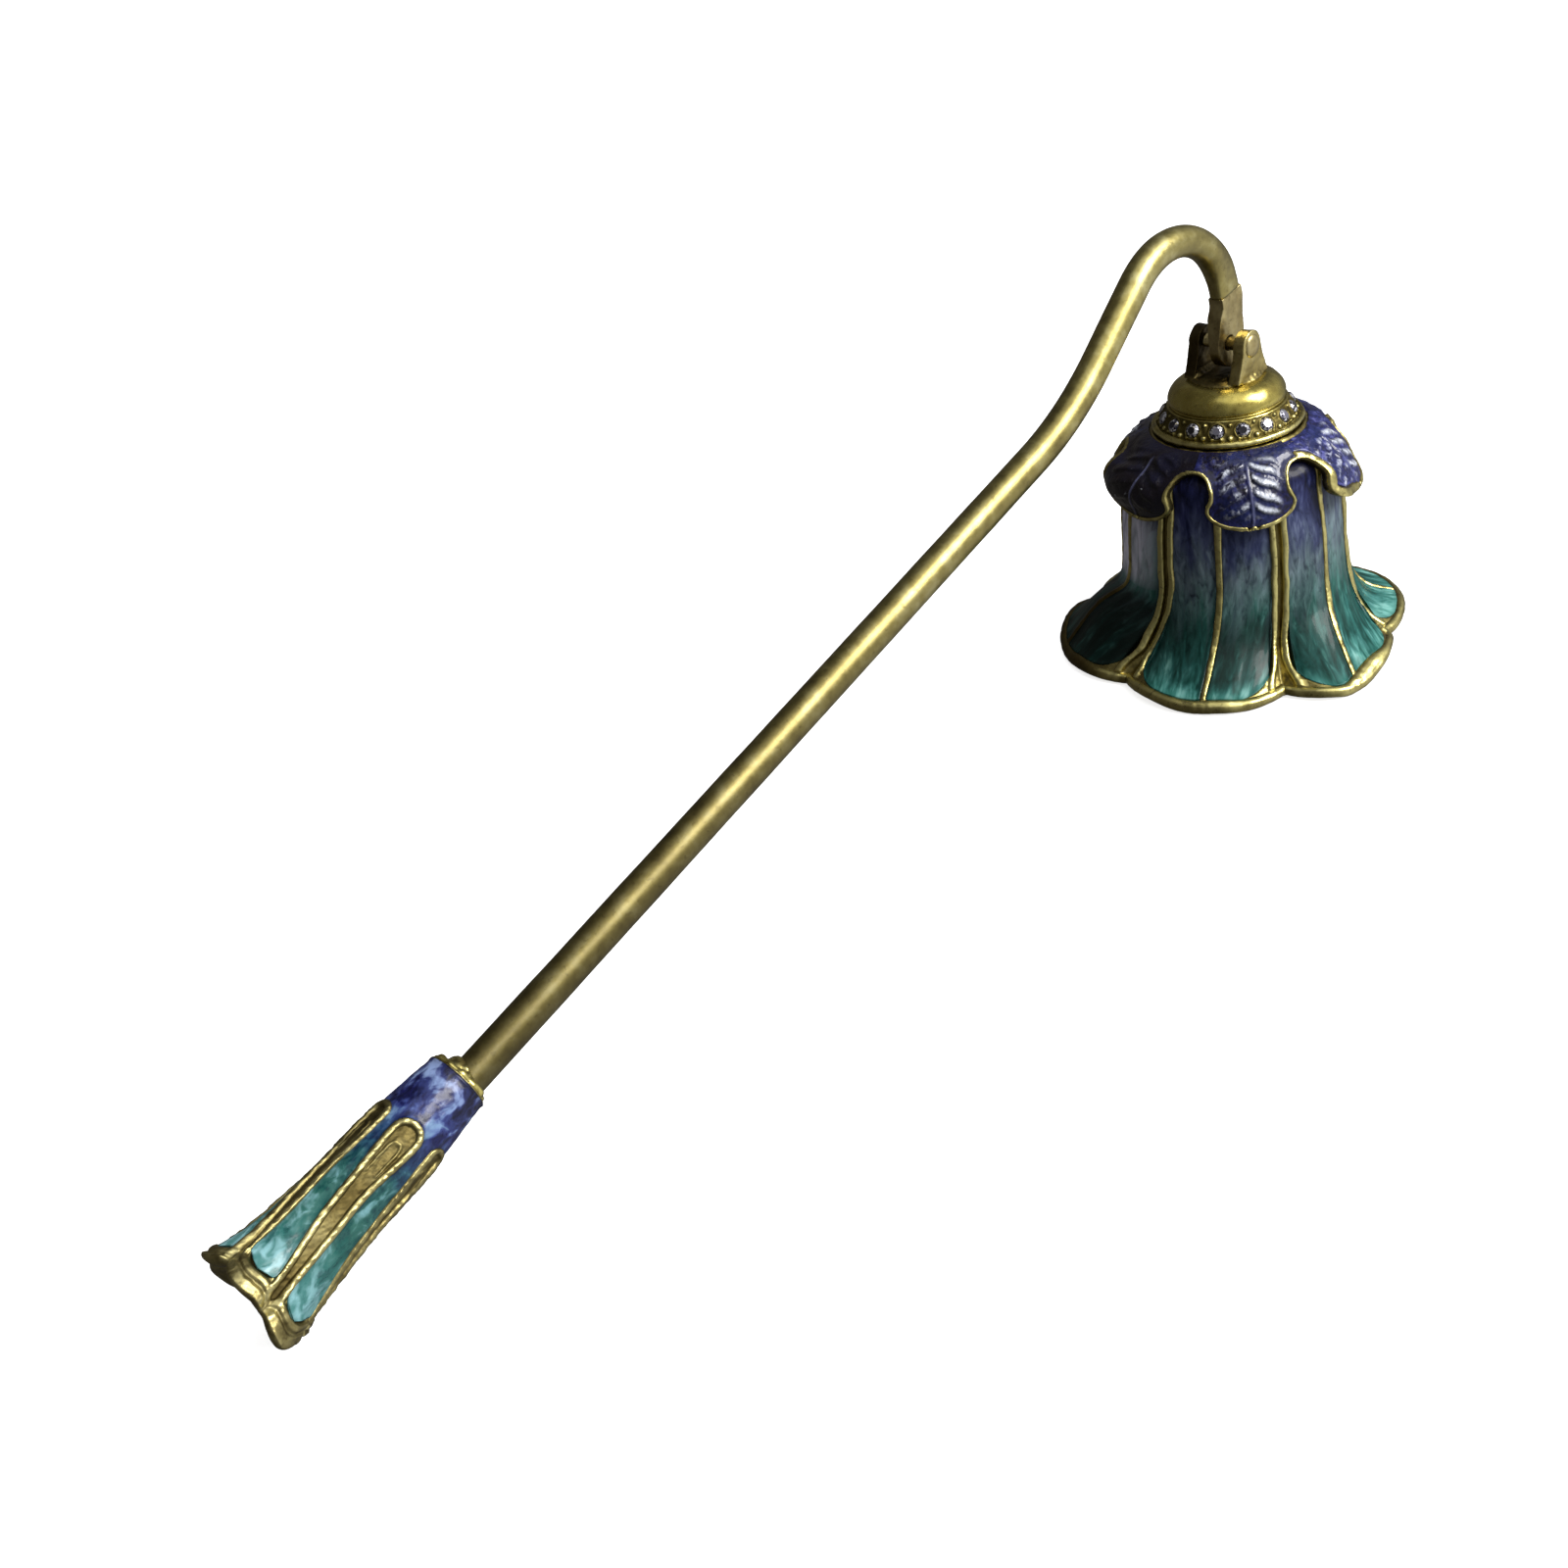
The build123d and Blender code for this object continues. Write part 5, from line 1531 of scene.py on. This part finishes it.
def arch_half(s, f):
    """Half-width of an arch in mm, outer edge of its raised outline."""
    w0 = A_W0 * f
    w = w0 - (0.44 * step_between(s, 8.0, 15.5) + 0.34 * step_between(s, 17.5, 25.0)) * f
    x = np.clip((s - A_TOP) / w0, 0, 1)
    return np.where(s < A_TOP, -1.0, w * np.sqrt(np.maximum(0, 1 - (1 - x) ** 2)))


def arch_dist(k, tau, s):
    """Signed distance in mm out from the arch's outline (negative inside the arch)."""
    _, r, _ = handle_base(k, tau, s)
    da = r * np.radians(30 * (1 - np.abs(tau)))
    f = arch_scale(k, tau)
    w = arch_half(s, f)
    flat = da - w
    cs = A_TOP + A_W0 * f
    rr = np.hypot(da, np.minimum(s - cs, 0)) - A_W0 * f
    return np.where(s < cs, rr, flat), da


ARCH_LIT = [0.8, 0.2, 0.4, 0.3, 1.0, 0.35]       # how lit the recess inside each arch is: lower values leave it darker with painted shade
RIM_AT = [1.30, 1.40, 1.20, 1.30, 2.25, 2.10]


def rim_width(k, tau):
    return 1.30 + (RIM_AT[k] - 1.30) * (1 - np.abs(tau) ** 4)


ROWS_H = np.concatenate([np.linspace(-0.35, 0.3, 6, endpoint=False), np.linspace(0.3, 5.3, 16, endpoint=False), np.linspace(5.3, 13.0, 60, endpoint=False),
                         np.linspace(13.0, 22.0, 44, endpoint=False), np.linspace(22.0, 27.6, 46)])
TA_H = np.concatenate([np.linspace(-1, -0.42, 26, endpoint=False), np.linspace(-0.42, 0.42, 12, endpoint=False),
                       np.linspace(0.42, 1, 26, endpoint=False)])


def handle_border(k, tau, s):
    d, da = arch_dist(k, tau, s)
    rim = (27.6 - s)
    # round the pocket's lower corners
    c = 1.15
    uu, vv = d, rim - rim_width(k, tau)
    both = (uu < c) & (vv < c)
    q = np.where(both, c - np.hypot(c - uu, c - vv), np.minimum(uu, vv))
    return q, d, da, rim


cols, cols_h, cols_n, cols_c, cols_w = [], [], [], [], []
for k in range(6):
    T, S = np.meshgrid(TA_H, ROWS_H, indexing="ij")
    P, r, th = handle_base(k, T, S)
    N = handle_normal(k, T, S)
    q, d, da, rim = handle_border(k, T, S)
    top = step_between(S, -0.05, -0.25)
    enam = step_between(q, -0.06, 0.10) * (1 - top)
    in_arch = step_between(d, 0.0, -0.1) * step_between(S, A_TOP - 0.1, A_TOP + 0.1)
    outline = dome((d + 0.36) / 0.40)
    rw = rim_width(k, T)
    rimband = smooth((rw + 0.05 - rim) / 0.30)
    loop_in = bump((np.hypot(da / (0.60 * arch_scale(k, T)), np.minimum(S - 9.6, 0) / 1.0) - 1.0) / 0.42) * step_between(S, 8.2, 8.8) * step_between(S, 13.4, 12.0)
    hb = 0.02 + 0.36 * outline + 0.13 * loop_in
    rim_groove = bump((rim - rw + 0.98) / 0.36) * (1 - np.abs(T) ** 6)
    hb = hb * (1 - rimband) + (0.30 + 0.08 * np.sin(2.3 * T + k) - 0.26 * rim_groove) * rimband
    centre_dip = bump(da / 1.0) * step_between(S, 22.0, 27.4) * 0.42
    hb = hb - centre_dip
    hb = hb * (1 - top) + 0.04 * top
    grain = (0.030 + 0.012 * outline * (1 - rimband)) * waves(P, 0.50, 101) + 0.035 * waves(P, 1.5, 102) + 0.05 * rimband * waves(P, 2.4, 103)
    h = -0.34 * enam + (hb + grain) * (1 - enam)
    cols.append(P)
    cols_n.append(N)
    cols_h.append(h)
    # arch recesses darkened: patina in the hollows plus painted shade, scaled per arch by ARCH_LIT
    recess = in_arch * (1 - outline) * (1 - 0.5 * loop_in) * (1 - rimband)
    lit = np.where(T < 0, ARCH_LIT[k], ARCH_LIT[(k + 1) % 6])
    cols_c.append(np.clip(enam + recess * (0.80 - 0.55 * lit) + centre_dip * 1.2 + 0.55 * rim_groove * rimband, 0, 1))
    cols_w.append(np.clip((1 - enam) * (outline * 0.60 + rimband * 0.45 + 0.3 * top), 0, 1))
HB = np.concatenate(cols)
HN = unit(np.concatenate(cols_n))
HHt = np.concatenate(cols_h)
HCv, HWr = np.concatenate(cols_c), np.concatenate(cols_w)
outer = HB + HN * HHt[..., None]
NU = HB.shape[0]
# local polar place of the last row, for the rim's roll and the hollow
rel = outer[:, -1] - h_org
s_l = rel @ h_z
x_l, y_l = rel @ h_x, rel @ h_y
r_l = np.hypot(x_l, y_l)
t_l = np.arctan2(y_l, x_l) - HTURN
rim_pts = []
ROLL = 1.05
for a in np.linspace(0, 180, 16)[1:]:
    a = math.radians(a)
    rim_pts.append(at_handle(r_l - ROLL * (1 - math.cos(a)), t_l, s_l + 0.62 * math.sin(a) - 0.25 * (1 - math.cos(a))))
rim_pts = [p + 0.07 * waves(p, 2.2, 112)[..., None] * unit(p - h_org) for p in rim_pts]
ins = []
for q in np.linspace(0, 1, 26)[1:]:
    s_in = s_l - 0.5 - (s_l - 0.5 - 16.0) * q
    shrink_r = np.interp(q, [0, 0.12, 0.3, 0.6, 0.9, 1.0], [1.64, 1.60, 1.55, 1.40, 1.30, 1.55])
    blend_r = (r_l - 0.0) * (1 - q) ** 1.3 + 4.45 * (1 - (1 - q) ** 1.3)
    ins.append(at_handle(np.maximum(blend_r - shrink_r, 2.4), t_l, s_in))
for r in (2.4, 1.6, 0.8, 0.02):
    ins.append(at_handle(np.full(NU, r), t_l, np.full(NU, 15.9)))
ins = np.stack(ins, 1)
insn = 0.06 * waves(ins, 1.4, 111)
rad = unit(ins - (h_org + ((ins - h_org) @ h_z)[..., None] * h_z))
ins = ins + rad * insn[..., None] * (np.arange(ins.shape[1]) < 24)[None, :, None]
topc = []
for r, s in ((3.34, -0.40), (3.1, -0.42), (2.85, -0.40)):
    topc.append(at_handle(np.full(NU, r), t_l, np.full(NU, s)))
topc += [at_handle(np.full(NU, r), t_l, np.full(NU, s)) for r, s in ((1.5, -0.35), (0.02, -0.35))]
topc = np.stack(topc, 1)[:, ::-1]
loop = np.concatenate([topc, outer, np.stack(rim_pts, 1), ins], 1)
NV = loop.shape[1]
cav = np.concatenate([np.full((NU, topc.shape[1]), 0.4), HCv, np.full((NU, len(rim_pts)), 0.05), np.full((NU, ins.shape[1]), 0.5)], 1)
wear = np.concatenate([np.full((NU, topc.shape[1]), 0.2), HWr, np.full((NU, len(rim_pts)), 0.45), np.zeros((NU, ins.shape[1]))], 1)
f = grid_faces(NU, NV, True, False)
row = np.arange(len(f)) % (NV - 1)
inside = row >= topc.shape[1] + outer.shape[1] + len(rim_pts) - 2
make("handle_cast", loop.reshape(-1, 3), [f], "rod_and_handle", ["handle_body"], [m_khaki, m_inside],
     {"cav": cav.ravel(), "wear": wear.ravel()}, face_mat=inside.astype(int))

# ---------------------------------------------------------------- handle enamel
ev_o, ev_i, ek, ef, eflow, edown, erim, off = [], [], [], [], [], [], [], 0
nt = 41
for k in range(6):
    s_top = np.linspace(-0.18, A_TOP - 0.02, 28, endpoint=False)
    y = np.linspace(0, 1, 104)
    s_low = A_TOP - 0.02 + (26.6 - A_TOP) * y
    s_all = np.unique(np.concatenate([s_top, s_low, A_TOP + np.array([0.0, 0.02, 0.06, 0.13, 0.24, 0.38])]))
    # half-angle of the pocket at each row, a touch inside the arch's outline
    tfine = np.linspace(0, 1, 1201)
    halves = []
    for sgn in (-1, 1):
        half = np.ones(len(s_all))
        for i, s in enumerate(s_all):
            if s >= A_TOP:
                q, d, da, rim = handle_border(k, sgn * tfine, np.full_like(tfine, s))
                good = np.where(q > -0.06)[0]
                half[i] = tfine[good[-1]] if len(good) else 0.0
        halves.append(half)
    last_i = np.where(np.minimum(*halves) > 0)[0][-1]
    s_all = s_all[:last_i + 1]
    halves = [h_[:last_i + 1] for h_ in halves]
    for h_ in halves:
        h_[-1] = min(h_[-1], 0.02)
    t = np.linspace(-1, 1, nt)
    S, T = np.meshgrid(s_all, t, indexing="ij")
    TA = np.where(T < 0, halves[0][:, None], halves[1][:, None]) * T
    P, r, th = handle_base(k, TA, S)
    N = handle_normal(k, TA, S)
    q, d, da, rim = handle_border(k, TA, S)
    edge = np.minimum(np.maximum(q, 0), np.maximum(S + 0.18, 0))
    fl = np.stack([r * np.cos(th), r * np.sin(th), S], -1)
    h = 0.0 + 0.11 * np.exp(-edge / 0.2) + 0.05 * waves(fl, 2.6, 121) + 0.025 * waves(fl, 0.9, 122) + 0.08 * step_between(edge, 0.0, 1.4)
    ev_o.append((P + N * h[..., None]).reshape(-1, 3))
    ev_i.append((P - N * 0.30).reshape(-1, 3))
    ek.append(np.stack([np.round(np.degrees(th) % 360.0, 4) % 360.0, S], -1).reshape(-1, 2))
    ef.append(grid_faces(len(s_all), nt) + off)
    off += S.size
    eflow.append(fl.reshape(-1, 3))
    edown.append(((S - 0.9) / 25.5).ravel())
    erim.append(np.exp(-edge / 0.28).ravel())
first, F = weld(np.concatenate(ek), np.concatenate(ef))
V, F = two_sided(np.concatenate(ev_o)[first], np.concatenate(ev_i)[first], F)
att = {}
for key, val in (("flow", eflow), ("down", edown), ("rim", erim)):
    val = np.concatenate(val)[first]
    att[key] = np.concatenate([val, val])
make("handle_enamel_skin", V, split_faces(F), "rod_and_handle", ["handle_enamel"], m_henamel, att)

# ---------------------------------------------------------------- bead ring and solder collar
NB = 96
th = np.linspace(0, TAU, NB, endpoint=False)
sec = np.linspace(0, TAU, 20, endpoint=False)
TH, A = np.meshgrid(th, sec, indexing="ij")
wob = 0.10 * np.sin(3 * TH + 0.7) + 0.09 * np.sin(7 * TH + 2.0) + 0.07 * np.sin(12 * TH + 1.0)
rr = 2.88 + (0.34 + 0.6 * wob) * np.cos(A) + 0.5 * wob
ss = -0.62 + (0.36 + wob * 0.6) * np.sin(A)
P = at_handle(rr, TH, ss)
P = P + 0.05 * waves(P, 0.8, 131)[..., None] * unit(P - h_org)
make("handle_ring_bead", P.reshape(-1, 3), [grid_faces(NB, 20, True, True)], "rod_and_handle", ["handle_ring"], m_polish,
     {"cav": (0.25 + 0.25 * np.cos(A + math.pi)).ravel(), "wear": np.full(A.size, 0.6)})
# solder: a low fillet round the rod's foot, heaped up on one side
rod_c = np.array([BX - HS0 * math.cos(ROD_SLOPE), 0, ROD_Z0 - HS0 * math.sin(ROD_SLOPE)])
rod_off = (rod_c - h_org) @ h_x
prof_r = np.array([1.98, 2.02, 2.12, 2.34, 2.60, 2.80, 2.84, 2.60, 2.0])
prof_s = np.array([-1.30, -1.42, -1.36, -1.02, -0.62, -0.30, -0.04, 0.02, 0.02])
pr, ps_ = Cubic(range(9), prof_r), Cubic(range(9), prof_s)
qq = np.linspace(0, 8, 36)
TH, Q = np.meshgrid(th, qq, indexing="ij")
heap = (0.5 + 0.5 * np.cos(TH - math.radians(20))) ** 2
r_ = pr(Q) + 0.30 * heap * step_between(Q, 1.0, 2.5) * step_between(Q, 7.5, 6.0) + (0.12 * np.sin(5 * TH + 1.0) + 0.10 * np.sin(8 * TH + 4.0)) * step_between(Q, 1.5, 3.0) * step_between(Q, 6.5, 5.0)
s_ = ps_(Q) * (0.72 + 0.95 * heap)
# centred on the rod near its top and on the handle at its base
cxs = rod_off * step_between(ps_(Q), 0.0, -0.9)
base_c = at_handle(np.zeros_like(r_), TH, s_) + cxs[..., None] * h_x
t2 = TH + HTURN
P = base_c + (r_ * np.cos(t2))[..., None] * h_x + (r_ * np.sin(t2))[..., None] * h_y
rel = P - h_org
lump = 0.17 * waves(P, 1.1, 141)
P = P + unit(P - base_c) * lump[..., None] * step_between(Q, 1.0, 2.5)[..., None] * step_between(Q, 7.0, 6.0)[..., None]
make("rod_ferrule_solder", P.reshape(-1, 3), [grid_faces(NB, 36, True, True)], "rod_and_handle", ["rod_ferrule"], m_cast,
     {"cav": np.clip(0.25 - 2.0 * lump, 0, 1).ravel(), "wear": np.clip(0.35 + 4 * lump, 0, 1).ravel()})

# ================================================================ crown washer and screw
NB = 72
th = np.linspace(0, TAU, NB, endpoint=False)
wp = np.array([(1.6, 29.36), (1.6, 28.86), (1.68, 28.81), (2.2, 28.80), (2.8, 28.80), (3.30, 28.81), (3.39, 28.88), (3.40, 29.1), (3.39, 29.33),
               (3.30, 29.39), (2.4, 29.40), (1.7, 29.40)])
TH, J = np.meshgrid(th, np.arange(len(wp)), indexing="ij")
P = at_bell(wp[J, 0], TH, wp[J, 1])
make("crown_washer_turned", P.reshape(-1, 3), [grid_faces(NB, len(wp), True, True)], "bell", ["crown_washer"], m_steel)
head = revolve_part([(0, 27.02), (1.6, 27.02), (2.35, 27.06), (2.68, 27.26), (2.79, 27.50), (2.80, 28.55), (2.76, 28.78), (0, 28.79)], (BX, 0, 0), n=72)
shank = revolve_part([(0, 28.6), (1.45, 28.6), (1.45, 36.3), (1.2, 36.55), (0, 36.58)], (BX, 0, 0), n=48)
sm = bpy.data.meshes.new("crown_screw_raw")
bm = bmesh.new()
for vs_, fs_ in (head, shank):
    vv = [bm.verts.new([c * MM for c in v]) for v in vs_]
    for q in fs_:
        try:
            bm.faces.new([vv[i] for i in q])
        except ValueError:
            pass
bmesh.ops.remove_doubles(bm, verts=bm.verts, dist=0.0000012)
bmesh.ops.recalc_face_normals(bm, faces=bm.faces)
bm.to_mesh(sm)
bm.free()
screw = bpy.data.objects.new("crown_screw_slotted", sm)
bpy.context.scene.collection.objects.link(screw)
slot_me = bpy.data.meshes.new("slot_cut")
bm = bmesh.new()
bmesh.ops.create_cube(bm, size=1.0)
bmesh.ops.scale(bm, vec=(0.0066, 0.0008, 0.0018), verts=bm.verts)
bmesh.ops.translate(bm, vec=(BX * MM, 0, 0.0270), verts=bm.verts)
bm.to_mesh(slot_me)
bm.free()
cutter = bpy.data.objects.new("slot_cut", slot_me)
bpy.context.scene.collection.objects.link(cutter)
bo = screw.modifiers.new("slot", "BOOLEAN")
bo.operation = "DIFFERENCE"
bo.object = cutter
bo.solver = "EXACT"
dg = bpy.context.evaluated_depsgraph_get()
screw.data = bpy.data.meshes.new_from_object(screw.evaluated_get(dg))
screw.modifiers.clear()
bpy.data.objects.remove(cutter)
screw.data.materials.clear()
screw.data.materials.append(m_steel)
for poly in screw.data.polygons:
    poly.use_smooth = True
mod = screw.modifiers.new("edges", "EDGE_SPLIT")
mod.split_angle = math.radians(35)
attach(screw, "bell")
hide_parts("crown_screw")

# ================================================================ floor, light, camera
def floor_material():
    n = Nodes("pale_floor")
    p = n.coord.outputs["Object"]
    a = n.noise(p, 9.0, 4.0, 0.6)
    n.put(n.bsdf.inputs["Base Color"], n.ramp(a, [(0.3, lin(244, 244, 244)), (0.7, lin(248, 248, 247))]))
    n.bsdf.inputs["Roughness"].default_value = 0.75
    n.bsdf.inputs["Emission Color"].default_value = (1.0, 1.0, 1.0, 1.0)
    n.bsdf.inputs["Emission Strength"].default_value = 0.75
    return n.mat


fm = bpy.data.meshes.new("floor")
bm = bmesh.new()
bmesh.ops.create_grid(bm, x_segments=2, y_segments=2, size=3.0)
bm.to_mesh(fm)
bm.free()
floor_obj = bpy.data.objects.new("floor", fm)
bpy.context.scene.collection.objects.link(floor_obj)
floor_obj.location = (0, 0, -0.00003)
fm.materials.append(floor_material())
floor_obj.visible_glossy = False
floor_obj.visible_diffuse = False

# A plain soft studio: dim all round, brighter towards the key side and overhead.
world = bpy.data.worlds.new("studio")
world.use_nodes = True
wt = world.node_tree
bg = wt.nodes["Background"]
tc = wt.nodes.new("ShaderNodeTexCoord")
vm = wt.nodes.new("ShaderNodeVectorMath")
vm.operation = "DOT_PRODUCT"
wt.links.new(tc.outputs["Generated"], vm.inputs[0])
vm.inputs[1].default_value = (0.378, -0.880, 0.287)
wr = wt.nodes.new("ShaderNodeValToRGB")
for e, (p_, c_) in zip([wr.color_ramp.elements[0], wr.color_ramp.elements[1], wr.color_ramp.elements.new(0.5)],
                       [(0.0, 0.03), (1.0, 1.05), (0.5, 0.16)]):
    pass
wr.color_ramp.elements[0].position, wr.color_ramp.elements[0].color = 0.22, (0.12, 0.113, 0.104, 1)
wr.color_ramp.elements[1].position, wr.color_ramp.elements[1].color = 0.60, (0.20, 0.20, 0.20, 1)
wr.color_ramp.elements[2].position, wr.color_ramp.elements[2].color = 1.0, (1.0, 1.0, 1.0, 1)
wm = wt.nodes.new("ShaderNodeMath")
wm.operation = "MULTIPLY_ADD"
wt.links.new(vm.outputs["Value"], wm.inputs[0])
wm.inputs[1].default_value, wm.inputs[2].default_value = 0.5, 0.5
wt.links.new(wm.outputs[0], wr.inputs[0])
wt.links.new(wr.outputs[0], bg.inputs[0])
bg.inputs[1].default_value = 0.62
plain = wt.nodes.new("ShaderNodeBackground")
plain.inputs[0].default_value, plain.inputs[1].default_value = (0.95, 0.95, 0.95, 1.0), 1.0
seen = wt.nodes.new("ShaderNodeLightPath")
both = wt.nodes.new("ShaderNodeMixShader")
wt.links.new(seen.outputs["Is Camera Ray"], both.inputs[0])
wt.links.new(bg.outputs[0], both.inputs[1])
wt.links.new(plain.outputs[0], both.inputs[2])
wt.links.new(both.outputs[0], wt.nodes["World Output"].inputs[0])
bpy.context.scene.world = world
bpy.context.scene.view_settings.view_transform = "Standard"


def soft_sun(name, toward, strength, angle, color=(1, 1, 1)):
    """Wide, even light that comes from the direction toward."""
    l = bpy.data.lights.new(name, "SUN")
    l.energy, l.angle, l.color = strength, math.radians(angle), color
    o = bpy.data.objects.new(name, l)
    bpy.context.scene.collection.objects.link(o)
    o.rotation_euler = Vector(toward).to_track_quat("Z", "Y").to_euler()
    return o


# Camera: a pinhole fitted to the object's outline in the picture.
F_PX = 2021.449
rv = np.array([1.91546895, -0.911818837, 0.312653276])
tv_ = np.array([16.135199, -5.56387126, 70.5500126])
ang_ = np.linalg.norm(rv)
kx, ky, kz = rv / ang_
K = np.array([[0, -kz, ky], [kz, 0, -kx], [-ky, kx, 0]])
RM = np.eye(3) + math.sin(ang_) * K + (1 - math.cos(ang_)) * K @ K
pos = (-RM.T @ tv_) * 4.0 + np.array([BX, 0, 0])
cam_data = bpy.data.cameras.new("camera")
cam_data.sensor_width = 36.0
cam_data.lens = 36.0 * F_PX / 1600.0
cam_data.clip_start, cam_data.clip_end = 0.01, 20.0
cam = bpy.data.objects.new("camera", cam_data)
bpy.context.scene.collection.objects.link(cam)
mw = Matrix.Identity(4)
for i in range(3):
    mw[i][0], mw[i][1], mw[i][2] = RM[0][i], -RM[1][i], -RM[2][i]
    mw[i][3] = pos[i] * MM
cam.matrix_world = mw
bpy.context.scene.camera = cam

right = Vector(RM[0]).normalized()
up = Vector((0, 0, 1))
back = Vector((-RM[2][0], -RM[2][1], 0)).normalized()
soft_sun("key", right * 0.76 + up * 0.90 + back * 0.32, 3.2, 30, (1.0, 0.985, 0.955))
soft_sun("top", up * 1.0 + back * 0.30 + right * 0.20, 0.6, 60)
fill = soft_sun("fill", up * 0.45 - back * 0.85 - right * 0.30, 0.9, 90)
fill.visible_glossy = False
soft_sun("table_bounce", right * 0.80 - up * 0.60 + back * 0.10, 0.38, 80)
floor_obj.visible_shadow = False
